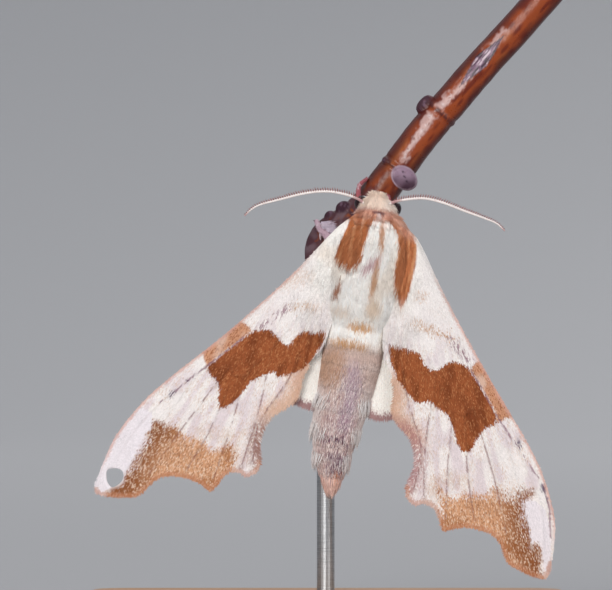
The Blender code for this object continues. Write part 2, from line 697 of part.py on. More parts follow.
def main():
    clear_scene()
    parts = new_collection("lime_hawk_moth")
    cutters = new_collection("cutters")
    moth = bpy.data.objects.new("moth_frame", None)
    moth.location = (HEAD_X * MM, BODY_Y * MM, HEAD_Z * MM)
    moth.rotation_euler = (0.0, BODY_LEAN, 0.0)
    bpy.context.scene.collection.objects.link(moth)
    grown_head, grown_thorax, grown_abdomen, sockets = build_body(parts, cutters, moth)
    build_feelers(parts, moth, grown_head, grown_thorax, sockets)
    build_wings(parts, cutters, moth, grown_thorax, grown_abdomen)
    twig_form("twig", parts)
    grown_twig = as_cutter(twig_form("twig_grown", cutters, GAP))
    build_legs(parts, moth, grown_thorax, grown_twig)
    build_stand(parts, cutters)
    for thing in parts.objects:
        thing.data.shade_smooth()
        thing.data.set_sharp_from_angle(angle=math.radians(40))


main()
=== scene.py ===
"""Looks of a life-size lime hawk moth at rest on a cut twig, on a plain display stand.

Sizes are in millimetres until a mesh is made, where MM turns them to metres. The moth is dressed in
its own frame: u runs to its right-hand side in the view of its back, v from the top of the head
towards the tail, h up off the back. Its forms repeat the named sizes that its solids are built from.
"""

import math
from functools import lru_cache

import bpy
import numpy as np
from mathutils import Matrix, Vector
from mathutils.geometry import delaunay_2d_cdt


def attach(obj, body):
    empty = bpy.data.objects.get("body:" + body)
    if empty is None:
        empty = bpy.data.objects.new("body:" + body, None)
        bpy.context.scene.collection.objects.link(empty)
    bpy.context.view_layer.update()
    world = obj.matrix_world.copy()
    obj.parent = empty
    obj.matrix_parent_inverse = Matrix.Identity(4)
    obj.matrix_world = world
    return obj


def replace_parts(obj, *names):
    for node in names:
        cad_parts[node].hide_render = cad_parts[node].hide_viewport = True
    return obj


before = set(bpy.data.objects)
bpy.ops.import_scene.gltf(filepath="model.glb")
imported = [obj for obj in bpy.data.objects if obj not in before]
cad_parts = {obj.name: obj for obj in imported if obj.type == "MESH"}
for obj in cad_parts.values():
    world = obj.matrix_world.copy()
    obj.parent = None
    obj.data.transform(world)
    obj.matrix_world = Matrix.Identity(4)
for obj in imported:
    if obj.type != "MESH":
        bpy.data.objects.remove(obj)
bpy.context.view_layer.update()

MM = 0.001
SEED = 41

# The photograph's frame: pixels across, a pixel's size, and what lies at its middle; then the camera
FRAME_WIDE = 612
PIXEL = 0.1
VIEW_X = -2.2
VIEW_Z = 33.2
MOTH_PLANE_Y = -5.0
CAMERA_AWAY = 620.0
SENSOR = 36.0

# How the moth stands in the world: head top, and the lean of its body
HEAD_X = 5.1
HEAD_Z = 43.4
BODY_Y = -4.0
BODY_LEAN = math.radians(9.3)

# Body from head to tail, one row a station: v, half width, height above and below, middle's u
BODY_STATIONS = (
    (0.0, 0.75, 0.6, 0.75, -0.2),
    (0.5, 1.27, 1.1, 1.3, -0.03),
    (1.2, 1.78, 1.5, 1.65, 0.12),
    (1.8, 2.1, 1.7, 1.75, 0.2),
    (2.5, 2.75, 2.35, 2.2, 0.42),
    (3.6, 3.65, 3.15, 2.95, 0.4),
    (5.4, 4.15, 3.8, 3.6, 0.28),
    (8.0, 4.4, 4.1, 3.9, 0.1),
    (11.0, 4.1, 3.9, 3.7, 0.05),
    (13.6, 3.55, 3.4, 3.1, 0.0),
    (15.6, 3.4, 3.2, 2.9, 0.0),
    (18.5, 3.25, 3.1, 2.9, -0.05),
    (21.5, 3.0, 2.85, 2.7, -0.25),
    (24.0, 2.6, 2.45, 2.35, -0.4),
    (26.5, 2.1, 2.0, 1.9, -0.4),
    (28.3, 1.6, 1.5, 1.45, -0.2),
    (29.2, 1.15, 1.05, 1.0, -0.08),
    (29.9, 0.7, 0.65, 0.6, 0.0),
)
NECK_V = 2.4
WAIST_V = 14.2
BODY_END_V = 29.9
# How deep the coat is on the head, the thorax and the abdomen
COAT_HEAD = 0.28
COAT_THORAX = 0.32
COAT_ABDOMEN = 0.24
# Rear edges of the abdomen's rings, as v
RING_EDGES = (17.2, 19.5, 21.8, 23.8, 25.5, 27.0, 28.4)
RING_STEP = 0.03


def linear(code):
    """A colour written as sRGB hex digits, as linear red, green and blue."""
    parts = [int(code[k:k + 2], 16) / 255 for k in (1, 3, 5)]
    return [c / 12.92 if c <= 0.04045 else ((c + 0.055) / 1.055) ** 2.4 for c in parts]


def colour(code):
    """The same with an opaque fourth channel, for a colour socket."""
    return (*linear(code), 1.0)


def tints(code, count):
    return np.tile(linear(code), (count, 1))


def laid_over(tint, code, cover):
    """Colours with another laid over them, as strongly as cover says for each."""
    return tint + (np.array(linear(code)) - tint) * np.broadcast_to(cover, len(tint))[:, None]


def moth_points(u, v, h):
    """Places in the moth's frame as an array of world points, in metres."""
    u, v, h = np.broadcast_arrays(u, v, h)
    x = HEAD_X + u * math.cos(BODY_LEAN) - v * math.sin(BODY_LEAN)
    z = HEAD_Z - u * math.sin(BODY_LEAN) - v * math.cos(BODY_LEAN)
    return np.stack((x, BODY_Y - h, z), axis=-1) * MM


def unit(vectors):
    return vectors / np.maximum(np.linalg.norm(vectors, axis=-1, keepdims=True), 1e-12)


def ease(low, high, values):
    """0 below low, 1 above high, and smooth between them; low may be above high."""
    part = np.clip((values - low) / (high - low), 0, 1)
    return part * part * (3 - 2 * part)


def spline(rows, count):
    """Catmull-Rom through rows of numbers, as an array of count rows."""
    rows = np.array(rows, float)
    last = len(rows) - 1
    place = np.linspace(0, last, count)
    index = np.minimum(place.astype(int), last - 1)
    t = (place - index)[:, None]
    a, b, c, d = (rows[np.clip(index + k, 0, last)] for k in (-1, 0, 1, 2))
    return 0.5 * (2 * b + (c - a) * t + (2 * a - 5 * b + 4 * c - d) * t ** 2
                  + (3 * b - a - 3 * c + d) * t ** 3)


def distance_to_line(points, line, closed=False):
    """How far each 2-D point lies from a line through corners."""
    line = np.array(line, float)
    ends = np.roll(line, -1, axis=0) if closed else line[1:]
    starts = line if closed else line[:-1]
    nearest = np.full(len(points), 1e9)
    for a, b in zip(starts, ends):
        along = b - a
        part = np.clip(((points - a) @ along) / max(along @ along, 1e-12), 0, 1)
        gap = points - a - part[:, None] * along
        nearest = np.minimum(nearest, np.hypot(gap[:, 0], gap[:, 1]))
    return nearest


def inside(points, corners):
    """Which 2-D points lie inside a closed outline."""
    found = np.zeros(len(points), bool)
    corners = np.array(corners, float)
    for a, b in zip(corners, np.roll(corners, -1, axis=0)):
        crosses = (a[1] > points[:, 1]) != (b[1] > points[:, 1])
        rise = b[1] - a[1] if b[1] != a[1] else 1e-12
        found ^= crosses & (points[:, 0] < a[0] + (b[0] - a[0]) * (points[:, 1] - a[1]) / rise)
    return found


def depth_in(points, corners):
    """Signed distance to a closed outline, positive inside it."""
    gap = distance_to_line(points, corners, closed=True)
    return np.where(inside(points, corners), gap, -gap)


def cloud(u, v, size, seed):
    """Smooth random values from 0 to 1 over places, in patches about size across."""
    table = np.random.default_rng(seed).uniform(0, 1, (64, 64))
    row, column = np.floor(u / size).astype(int), np.floor(v / size).astype(int)
    down, across = ease(0, 1, u / size - row), ease(0, 1, v / size - column)
    value = 0
    for k in (0, 1):
        for j in (0, 1):
            weight = np.abs(1 - k - down) * np.abs(1 - j - across)
            value = value + weight * table[(row + k) % 64, (column + j) % 64]
    return value


def soft_spot(u, v, middle_u, middle_v, half_u, half_v, tilt):
    """How far places lie in an oval with a soft rim: 1 well inside it, 0 outside."""
    turn = math.radians(tilt)
    across = (u - middle_u) * math.cos(turn) + (v - middle_v) * math.sin(turn)
    down = (v - middle_v) * math.cos(turn) - (u - middle_u) * math.sin(turn)
    return 1 - ease(0.55, 1.25, np.hypot(across / half_u, down / half_v))


def placed(name, data):
    """A scene object that shows a mesh, a lamp or a camera."""
    thing = bpy.data.objects.new(name, data)
    bpy.context.scene.collection.objects.link(thing)
    return thing


def build_mesh(name, points, faces, material, attributes, ways=None):
    """An object from world points and a list of face arrays, riding on the part."""
    mesh = bpy.data.meshes.new(name)
    loops = np.concatenate([face.ravel() for face in faces]).astype(np.int32)
    sizes = np.concatenate([np.full(len(face), face.shape[1]) for face in faces])
    starts = np.concatenate(([0], np.cumsum(sizes)[:-1])).astype(np.int32)
    mesh.vertices.add(len(points))
    mesh.vertices.foreach_set("co", points.astype(np.float32).ravel())
    mesh.loops.add(len(loops))
    mesh.loops.foreach_set("vertex_index", loops)
    mesh.polygons.add(len(sizes))
    mesh.polygons.foreach_set("loop_start", starts)
    mesh.update(calc_edges=True)
    mesh.validate()
    for label, values in attributes.items():
        kind = "FLOAT" if values.ndim == 1 else "FLOAT_COLOR"
        layer = mesh.attributes.new(label, kind, "POINT")
        if kind == "FLOAT_COLOR":
            values = np.concatenate((np.clip(values, 0, 1), np.ones((len(values), 1))), axis=1)
        layer.data.foreach_set("value" if kind == "FLOAT" else "color", values.astype(np.float32).ravel())
    mesh.shade_smooth()
    if ways is not None:
        mesh.normals_split_custom_set_from_vertices(ways)
    thing = placed(name, mesh)
    mesh.materials.append(material)
    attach(thing, "root")
    return thing


def moth_piece(name, points, faces, material, tint, ways=None):
    """A tinted piece whose points are u, v, h; the moth's frame is left-handed, so its faces turn over."""
    world = moth_points(*points.T)
    if ways is not None:
        ways = unit(moth_points(*(points + ways).T) - world)
    return build_mesh(name, world, [face[:, ::-1] for face in faces], material, {"tint": tint}, ways)


def closed_tube_faces(rings, sides):
    """Quads of a tube of rings, then the triangles of two tips that follow its points."""
    ring = np.arange(rings - 1)[:, None] * sides
    one = np.arange(sides)[None, :]
    two = (one + 1) % sides
    quads = np.stack((ring + one, ring + sides + one, ring + sides + two, ring + two), axis=-1)
    tip = rings * sides
    first = np.stack((one[0], two[0], np.full(sides, tip)), axis=-1)
    base = (rings - 1) * sides
    last = np.stack((base + two[0], base + one[0], np.full(sides, tip + 1)), axis=-1)
    return [quads.reshape(-1, 4), np.concatenate((first, last))]


def swept(path, radii, sides):
    """Points, faces, outward ways and onward ways of a closed round form along a path."""
    path, radii = np.asarray(path, float), np.asarray(radii, float)
    ahead = unit(np.gradient(path, axis=0))
    side = np.empty_like(ahead)
    start = np.array([0.0, 0.0, 1.0]) if abs(ahead[0, 2]) < 0.8 else np.array([1.0, 0.0, 0.0])
    for k, way in enumerate(ahead):
        start = unit(start - way * (start @ way))
        side[k] = start
    other = np.cross(ahead, side)
    turn = np.arange(sides) * 2 * math.pi / sides
    out = side[:, None] * np.cos(turn)[None, :, None] + other[:, None] * np.sin(turn)[None, :, None]
    points = path[:, None] + out * radii[:, None, None]
    ends = path[[0, -1]] + ahead[[0, -1]] * np.array([-0.5, 0.5])[:, None] * radii[[0, -1]][:, None]
    points = np.concatenate((points.reshape(-1, 3), ends))
    faces = [face[:, ::-1] for face in closed_tube_faces(len(path), sides)]
    return points, faces, out, ahead


# A strand's rings of three corners, as share of its length and of its width; its tip comes after them
STRAND_RINGS = ((0.0, 0.8), (0.5, 1.0))
STRAND_POINTS = 7
# The side of a strand's patch of the bake map, as share of the map
BAKE_PATCH = 0.003


def strand_faces(count):
    """Faces of many closed strands: two rings of three corners and a tip each."""
    quads = [(k, (k + 1) % 3, 3 + (k + 1) % 3, 3 + k) for k in range(3)]
    triangles = [(3 + k, 3 + (k + 1) % 3, 6) for k in range(3)] + [(0, 2, 1)]
    offset = (np.arange(count) * STRAND_POINTS)[:, None, None]
    return [(np.array(shape)[None] + offset).reshape(-1, len(shape[0])) for shape in (quads, triangles)]


def strand_points(roots, out, along, length, width, lift, sway=0.0, thick=0.35, sink=0.04):
    """Points of tapered strands that rise from the skin and bend back along it."""
    across = unit(np.cross(along, out))
    length, width, lift, sway = (np.broadcast_to(x, len(roots))[:, None] for x in (length, width, lift, sway))
    rows = []
    for reach, share in STRAND_RINGS + ((1.0, 0.0),):
        middle = roots + along * length * reach + across * length * sway * reach ** 2
        middle = middle + out * (length * lift * reach * (1.7 - 0.7 * reach) - sink * (1 - reach))
        if share == 0:
            rows.append(middle)
            break
        wide = across * width * (0.5 * share)
        rows += [middle + wide, middle - wide, middle + out * width * (thick * share)]
    return np.stack(rows, axis=1).reshape(-1, 3)


def coat_piece(name, points, out, along, home, tint, material):
    """A coat of strands that take the light as the skin under them does.

    On the back and sides their normals turn a little towards h, so the pile reads as deep and soft.
    Each has painted shade at its root and a touch of painted light at its tip, and a small patch of the bake
    map at its root's place.
    """
    count = len(home)
    share = np.tile([0, 0, 0, 0.5, 0.5, 0.5, 1.0], count)
    # Painted shade at each strand's root and a little painted light at its tip
    shade = np.tile([0.9, 0.9, 0.9, 1, 1, 1, 1.03], count)
    tint = np.repeat(tint, STRAND_POINTS, axis=0) * shade[:, None]
    across = unit(np.cross(along, out))
    roundness = np.array([0.45, -0.45, 0, 0.45, -0.45, 0, 0])[None, :, None]
    soft = unit(out + np.array([0, 0, 0.6]) * ease(-0.6, 0.3, out[:, 2])[:, None])
    ways = unit(soft[:, None] + across[:, None] * roundness).reshape(-1, 3)
    thing = moth_piece(name, points, strand_faces(count), material, tint, ways)
    patch = np.stack((np.tile([0, 1, 0.5, 0, 1, 0.5, 0.5], count), share), axis=1)
    spots = np.repeat(home, STRAND_POINTS, axis=0) + BAKE_PATCH * patch
    corner = np.empty(len(thing.data.loops), np.int32)
    thing.data.loops.foreach_get("vertex_index", corner)
    layer = thing.data.uv_layers.new(name="OFBake")
    layer.uv.foreach_set("vector", spots[corner].astype(np.float32).ravel())
    return thing


def gathered(roots, along, length, rng, size, pull):
    """Bend the lie of strands together into locks, each about size of them. Gives the lie and lock."""
    count = max(1, len(roots) // size)
    heads = rng.choice(len(roots), count, replace=False)
    lock = np.empty(len(roots), int)
    for start in range(0, len(roots), 2000):
        part = roots[start:start + 2000]
        gap = ((part[:, None, :] - roots[heads][None, :, :]) ** 2).sum(axis=2)
        lock[start:start + 2000] = gap.argmin(axis=1)
    reach = np.broadcast_to(length, len(roots))[:, None]
    goal = roots[heads][lock] + along[heads][lock] * reach * 1.05
    return unit(along + (unit(goal - roots) - along) * pull), lock


BODY_ROWS = spline(BODY_STATIONS, 420)

# Rust shoulder pads as u, v: left, with u to the left, then right
PAD_LEFT = (
    (2.02, 2.34), (2.37, 2.71), (2.59, 3.88), (3, 5.19), (3.22, 6.05), (3.12, 6.97), (2.59, 7.4),
    (1.55, 7.7), (0.71, 7.14), (0.54, 6.34), (0.66, 5.43), (0.38, 4.45), (0.41, 3.63), (0.07, 2.85),
    (-0.15, 2.3), (0.44, 1.88), (1.45, 2.04),
)
PAD_RIGHT = (
    (0.68, 2.42), (1.34, 2.62), (2.06, 3.23), (2.49, 3.88), (2.76, 4.87), (2.69, 6.12), (2.75, 7.15),
    (2.93, 8.56), (3.35, 9.53), (3.68, 10.51), (4.02, 11.12), (4.34, 10.19), (4.57, 9.12), (4.63, 7.87),
    (4.75, 6.71), (4.73, 5.68), (4.55, 4.58), (4.02, 3.84), (3.3, 3.23), (2.49, 2.74), (1.47, 2.18),
)
PADS = ((PAD_LEFT, -1, "#b3683c"), (PAD_RIGHT, 1, "#bf744a"))
PAD_RAISE = 0.12

# Soft markings of the back: colour, strength, middle u and v, half width, half length, tilt in degrees
BACK_MARKS = (
    ("#c48770", 0.9, 0.3, 2.1, 3.2, 0.7, 0),
    ("#cf937a", 0.8, 3.1, 3.1, 0.7, 1.8, -50),
    ("#643c40", 1.0, 0.3, 2.0, 0.75, 0.2, 0),
    ("#e6d2cf", 0.8, 0.38, 2.25, 0.26, 0.24, 0),
    ("#c08358", 0.85, 0.98, 4.2, 0.27, 1.5, -9),
    ("#b98a92", 0.8, 0.37, 6.93, 1.36, 0.42, -46),
    ("#c08a60", 0.85, 0.93, 8.3, 0.36, 2.1, 2),
    ("#a05f3a", 0.95, -2.56, 9.98, 0.33, 1.0, 17),
    ("#d9b58f", 0.5, 1.3, 11.3, 1.0, 0.9, 0),
    ("#d9b58f", 0.4, -1.9, 11.9, 1.2, 0.5, 0),
    ("#cf9a66", 0.9, 0.3, 13.3, 1.5, 0.6, 0),
    ("#c4905f", 0.9, -0.5, 15.2, 2.2, 0.45, 0),
    ("#bd8e6c", 0.7, -1.9, 17.9, 1.5, 2.2, 0),
    ("#a58aa6", 0.5, 0.5, 19.4, 0.9, 2.6, -4),
    ("#9c7f9e", 0.5, 0.4, 22.6, 0.9, 2.0, 4),
    ("#5c3b48", 1.0, -0.3, 25.0, 1.9, 0.26, 0),
    ("#5d3f58", 0.7, 0.1, 26.7, 1.3, 0.6, 0),
    ("#553650", 0.85, 0.17, 28.0, 0.8, 0.7, 0),
    ("#d98b5c", 0.8, 0.25, 28.9, 0.4, 0.8, 0),
)


def body_tint(u, v, h):
    """The colour of the coat at places on the body or beside it."""
    streak = cloud(u * 7, v, 1.1, 3)
    patch = cloud(u, v * 0.6, 1.3, 4)
    tint = tints("#fffaf5", len(u))
    tint = laid_over(tint, "#e3cdb4", 0.4 * ease(0.55, 0.85, patch) * ease(3, 8, v))
    tint = laid_over(tint, "#cbada1", 0.9 * ease(14.6, 16.0, v))
    rosy = 0.6 * ease(20.0, 24.0, v) + 0.3 * ease(0.5, 0.9, patch) * ease(15, 17, v)
    tint = laid_over(tint, "#c2a09e", rosy)
    tint = laid_over(tint, "#f1e6e3", 0.85 * ease(1.5, 2.4, np.abs(u + 0.3)) * ease(18, 22, v))
    tint = laid_over(tint, "#fbe0cd", 0.95 * ease(1.9, 1.3, v))
    tint = laid_over(tint, "#fff2ea", 0.6 * ease(0.3, 1.2, u) * ease(1.9, 1.2, v))
    tint = laid_over(tint, "#efbcae", 0.8 * ease(28.0, 29.0, v))
    back = ease(-1.8, 0.2, h)
    collar = back * ease(1.8, 2.2, v) * ease(4.0, 3.0, v)
    for edge in RING_EDGES:
        tint = laid_over(tint, "#ecdcd6", 0.5 * back * ease(0.35, 0.1, np.abs(v - edge - 0.15)))
    for outline, side, code in PADS:
        cover = back * ease(-0.1, 0.1, depth_in(np.stack((side * u, v), axis=1), outline))
        tint = laid_over(tint, code, cover)
        tint = laid_over(tint, "#dba274", 0.55 * cover * ease(0.55, 0.9, streak))
        tint = laid_over(tint, "#8a4e2a", 0.5 * cover * ease(0.45, 0.1, streak))
    for code, strength, *oval in BACK_MARKS:
        tint = laid_over(tint, code, strength * back * soft_spot(u, v, *oval))
    tint = laid_over(tint, "#9a6150", 0.6 * collar * ease(0.5, 0.15, streak))
    tint = laid_over(tint, "#e2b29d", 0.5 * collar * ease(0.55, 0.85, streak))
    tint = tint * (1 - 0.1 * ease(0.5, 0.1, streak))[:, None]
    return laid_over(tint, "#d8bab0", 0.6 * ease(-0.8, -2.4, h))


def coat_depth(v):
    """How far the skin lies under the solids' form, to leave room for the coat."""
    marks = (NECK_V - 0.8, NECK_V + 0.8, WAIST_V - 0.8, WAIST_V + 1.4)
    return np.interp(v, marks, (COAT_HEAD, COAT_THORAX, COAT_THORAX, COAT_ABDOMEN))


def body_surface(v, turn):
    """Points u, v, h of the skin; turn runs round the body from its right side over the back."""
    half, above, below, middle = (np.interp(v, BODY_ROWS[:, 0], BODY_ROWS[:, k]) for k in (1, 2, 3, 4))
    side, rise = np.cos(turn), np.sin(turn)
    height = np.where(rise > 0, above, below)
    edges = np.array((15.0,) + RING_EDGES + (29.6,))
    ring = np.clip(np.searchsorted(edges, v) - 1, 0, len(edges) - 2)
    part = np.clip((v - edges[ring]) / (edges[ring + 1] - edges[ring]), 0, 1)
    swell = RING_STEP * (part ** 2 - 0.5) * ease(15.0, 16.0, v)
    for outline, way, _ in PADS:
        depth = depth_in(np.stack((way * (middle + half * side), v), axis=1), outline)
        swell = swell + PAD_RAISE * ease(-0.25, 0.35, depth) * (rise > 0)
    sink = np.minimum(coat_depth(v) - swell, 0.75 * half)
    return np.stack((middle + (half - sink) * side, v, (height - sink) * rise), axis=1)


def surface_frame(v, turn):
    """A place on the skin, its outward way, and the way along it towards the tail."""
    place = body_surface(v, turn)
    down = unit(body_surface(v + 0.05, turn) - body_surface(v - 0.05, turn))
    round_way = body_surface(v, turn + 0.02) - body_surface(v, turn - 0.02)
    out = unit(np.cross(down, round_way))
    middle = np.interp(v, BODY_ROWS[:, 0], BODY_ROWS[:, 4])
    away = place - np.stack((middle, v, np.zeros_like(v)), axis=1)
    out *= np.sign((out * away).sum(axis=1, keepdims=True))
    return place, out, down


def build_body_skin():
    """One skin from the brow to the tip of the abdomen, with no seam at neck or waist."""
    rings, sides = 260, 120
    v = np.linspace(0.12, BODY_END_V - 0.1, rings)
    turn = np.arange(sides) * 2 * math.pi / sides
    points = body_surface(np.repeat(v, sides), np.tile(turn, rings))
    tips = np.array([[BODY_STATIONS[0][4], -0.02, 0.0], [BODY_STATIONS[-1][4], BODY_END_V + 0.05, 0.0]])
    points = np.concatenate((points, tips))
    # The skin takes the coat's colour, a little darker as painted shade in the partings of the coat
    tint = body_tint(points[:, 0], points[:, 1], points[:, 2]) * 0.95
    skin = moth_piece("body_skin", points, closed_tube_faces(rings, sides), skin_material(), tint)
    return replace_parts(skin, "head", "thorax", "abdomen")


def scattered(rng, count, v_span, turn_span):
    """Random places on the body, as dense where it is thick as where it is thin, most on the back."""
    v = rng.uniform(*v_span, count * 5)
    turn = rng.uniform(*turn_span, len(v))
    girth = np.interp(v, BODY_ROWS[:, 0], BODY_ROWS[:, 1])
    wanted = girth / girth.max() * (0.4 + 0.6 * (np.sin(turn) > -0.3))
    keep = rng.uniform(0, 1, len(v)) < wanted
    return v[keep][:count], turn[keep][:count]


def dress_body(name, rng, places, length, width, lift, lock_size, pull, lean=0.0, wild=0.12, blur=0.05,
               code=None):
    """A coat of hair on the body skin at places (v, turn), lying towards the tail."""
    v, turn = places
    count = len(v)
    roots, out, down = surface_frame(v, turn)
    side = unit(np.cross(down, out))
    forward = ease(-0.1, 0.5, v) * 2 - 1
    lean = np.broadcast_to(lean, count) + 0.5 * (1 - np.abs(forward))
    lie = unit(down * forward[:, None] + out * lean[:, None])
    lie = unit(lie + side * rng.normal(0, wild, count)[:, None])
    reach = length * rng.uniform(0.7, 1.15, count)
    lie, lock = gathered(roots, lie, reach, rng, lock_size, pull)
    points = strand_points(
        roots, out, lie, reach, width * rng.uniform(0.75, 1.25, count),
        lift * rng.uniform(0.6, 1.4, count), rng.normal(0, 0.06, count),
    )
    spot = roots + lie * (reach * rng.uniform(0.1, 0.75, count))[:, None] + rng.normal(0, blur, (count, 3))
    tint = body_tint(*spot.T)
    speck = rng.uniform(0, 1, count)
    mottled = ease(16.0, 20.0, v) * ease(29.5, 28.5, v) * ease(2.6, 1.2, np.abs(spot[:, 0] - 0.1))
    tint = laid_over(tint, "#6d4c69", 0.6 * mottled * (speck < 0.2))
    tint = laid_over(tint, "#f6ebe8", 0.65 * mottled * (speck > 0.72))
    if code:
        tint = laid_over(tint, code, 0.9 * ease(0.0, 0.7, rng.uniform(0, 1, count)))
    shade = rng.normal(1, 0.035, lock.max() + 1)[lock] * rng.normal(1, 0.05 + 0.05 * ease(14, 17, v), count)
    home = np.stack((turn % (2 * math.pi) / (2 * math.pi) * 0.9 + 0.04, v / BODY_END_V * 0.9 + 0.04), axis=1)
    return coat_piece(name, points, out, lie, home, tint * shade[:, None], fur_material())


# About how many strands each coat has; parts that come in pairs, and the body's two sides, have as many each
HEAD_HAIRS = 9500
TEMPLE_HAIRS = 1200
THORAX_HAIRS = 19800
ABDOMEN_HAIRS = 12500
TAIL_HAIRS = 600
PALP_HAIRS = 1000
LEG_SCALES = 900
FOREWING_SCALES = 19600
HINDWING_SCALES = 3600
WING_ROOT_HAIRS = 6000
# Tufts that stand out from the abdomen's sides, as v, and the hairs of each
TUFT_PLACES = (20.8, 23.8, 26.6)
TUFT_HAIRS = 380


def build_body_coat():
    """Short brow and cheek hair, the long pile of the thorax, the close coat and tufts of the abdomen."""
    rng = np.random.default_rng(SEED)
    right, left = (-0.5 * math.pi, 0.5 * math.pi), (0.5 * math.pi, 1.5 * math.pi)
    v, turn = scattered(rng, HEAD_HAIRS, (0.08, 3.0), (0, 2 * math.pi))
    cheek = ease(0.75, 0.95, np.abs(np.cos(turn))) * (np.sin(turn) > -0.25)
    cheek = cheek * ease(0.3, 0.8, v) * ease(2.2, 1.6, v)
    length = 0.34 + 0.2 * ease(0.1, 0.6, v) + 0.3 * ease(1.0, 2.6, v)
    dress_body("head_hair", rng, (v, turn), length, 0.055, 0.09, 5, 0.25, 0.12 * cheek)
    v, turn = rng.uniform(0.5, 2.2, TEMPLE_HAIRS), rng.uniform(0.0, 0.8, TEMPLE_HAIRS)
    turn = np.where(np.arange(TEMPLE_HAIRS) % 2, turn, math.pi - turn)
    dress_body("temple_hair", rng, (v, turn), 0.65 + 0 * v, 0.045, 0.05, 3, 0.1, 0.5, 0.25)
    for word, span in (("right", right), ("left", left)):
        v, turn = scattered(rng, THORAX_HAIRS, (2.3, 15.0), span)
        length = 0.6 + 0.9 * ease(2.4, 5.0, v) - 0.4 * ease(11.0, 14.0, v)
        dress_body(f"thorax_hair_{word}", rng, (v, turn), length, 0.058, 0.07, 9, 0.22, 0.0, 0.1)
        v, turn = scattered(rng, ABDOMEN_HAIRS, (14.4, BODY_END_V - 0.3), span)
        dress_body(f"abdomen_hair_{word}", rng, (v, turn), 0.75 + 0 * v, 0.06, 0.07, 6, 0.2, 0.0, 0.16, 0.22)
    v, turn = [], []
    for place in TUFT_PLACES:
        for facing in (0.0, math.pi):
            v.append(place + rng.normal(0, 0.3, TUFT_HAIRS))
            turn.append(facing + rng.normal(0, 0.4, TUFT_HAIRS))
    v, turn = np.concatenate(v), np.concatenate(turn)
    dress_body("side_tufts", rng, (v, turn), 1.5 + 0 * v, 0.05, 0.04, 30, 0.4, 0.22, 0.1, 0.05,
               "#fffafa")
    v, turn = rng.uniform(28.6, 29.8, TAIL_HAIRS), rng.uniform(0, 2 * math.pi, TAIL_HAIRS)
    dress_body("tail_fan", rng, (v, turn), 1.3 + 0 * v, 0.055, 0.0, 25, 0.5, 0.3, 0.14, 0.1, "#f7cfc2")


# Forewing, the unworn one: control points of its outline, then its veins, as u, v
FOREWING_OUTLINE = (
    (2.2, 3.6), (4.35, 3.75), (7.7, 8.4), (10.45, 12.1), (14.4, 17.05), (18.7, 22.2), (21.0, 25.5),
    (22.7, 29.3), (23.1, 32.0), (23.1, 33.9), (22.85, 35.25), (21.9, 35.4), (20.1, 34.95),
    (18.8, 34.4), (18.05, 33.2), (17.3, 32.2), (16.0, 31.6), (14.0, 31.5), (12.6, 31.9),
    (11.9, 32.2), (11.4, 31.5), (10.9, 30.5), (10.3, 30.0), (9.4, 29.8), (8.6, 30.1),
    (7.7, 29.5), (7.5, 28.6), (7.95, 26.9), (7.85, 25.3), (7.1, 23.6), (5.9, 22.6),
    (4.95, 21.4), (4.8, 19.4), (4.3, 18.0), (3.4, 16.4), (2.7, 14.2), (2.2, 9.0),
)
COSTA_POINTS = slice(1, 11)
MARGIN_POINTS = slice(9, 27)
INNER_POINTS = slice(26, 34)
FOREWING_VEINS = (
    ((3.2, 5.0), (8.0, 10.6), (13.1, 17.3), (15.8, 20.6), (18.3, 23.6), (21.0, 28.0), (22.2, 33.4)),
    ((15.8, 20.6), (18.6, 27.0), (21.3, 33.8)),
    ((12.7, 19.6), (16.0, 26.3), (18.5, 32.6)),
    ((12.7, 19.6), (12.0, 20.4), (10.6, 20.2)),
    ((12.0, 20.4), (13.3, 26.3), (14.7, 30.7)),
    ((3.4, 7.0), (5.8, 12.0), (8.6, 17.2), (10.6, 20.2), (11.2, 26.0), (11.85, 31.2)),
    ((8.6, 17.2), (8.6, 23.4), (9.3, 29.2)),
    ((3.4, 10.0), (4.4, 14.5), (6.2, 20.0), (8.3, 24.6), (8.2, 28.6)),
)
# The worn wing: its leading edge drawn in as far as the tip, and the tip held a little higher
WORN_COSTA_PULL = 1.22
WORN_COSTA_END = 33.4
WORN_COSTA_POWER = 6
WORN_TIP_LIFT = 1.25
WORN_REACH = 23.0
COSTA_START = 2.2
COSTA_SLOPE = 0.65
WORN_HOLE = (
    (22.4, 31.8), (21.6, 31.5), (21.0, 31.6), (20.7, 32.1), (20.85, 32.8), (21.6, 33.45),
    (22.15, 33.1), (22.4, 32.5),
)

HINDWING_OUTLINE = (
    (2.2, 8.0), (4.0, 8.4), (7.0, 11.6), (10.5, 15.5), (13.0, 18.4), (13.6, 20.4), (12.6, 22.0),
    (10.0, 22.9), (7.4, 22.3), (5.2, 22.0), (3.8, 22.3), (2.6, 22.0), (1.9, 20.4), (1.9, 16.0),
    (2.0, 12.0),
)
HIND_MARGIN_POINTS = slice(5, 14)
HINDWING_VEINS = (
    ((3.6, 10.2), (7.4, 14.6), (12.6, 19.8)),
    ((3.4, 11.6), (6.6, 16.6), (10.0, 21.8)),
    ((3.4, 12.4), (5.4, 17.4), (7.2, 21.5)),
    ((3.2, 13.4), (4.3, 17.8), (4.9, 21.2)),
)

WING_ROOT_U = 3.0
WING_ROOT_H = 1.6
WING_DROOP = 0.17
WING_ARCH = 0.5
COSTA_CURL = 0.6
COSTA_CURL_POWER = 6
HINDWING_UNDER = 1.1
# The render's membrane, its vein ridges and the shallow troughs between them
MEMBRANE_THICK = 0.2
RIDGE_HEIGHT = 0.08
RIDGE_HALF_WIDTH = 0.17
TROUGH_DEPTH = 0.1
EDGE_STEP = 0.2
SHEET_STEP = 0.34
# The side of the square of wing that its part of the bake map covers
WING_MAP_SIDE = 37.0

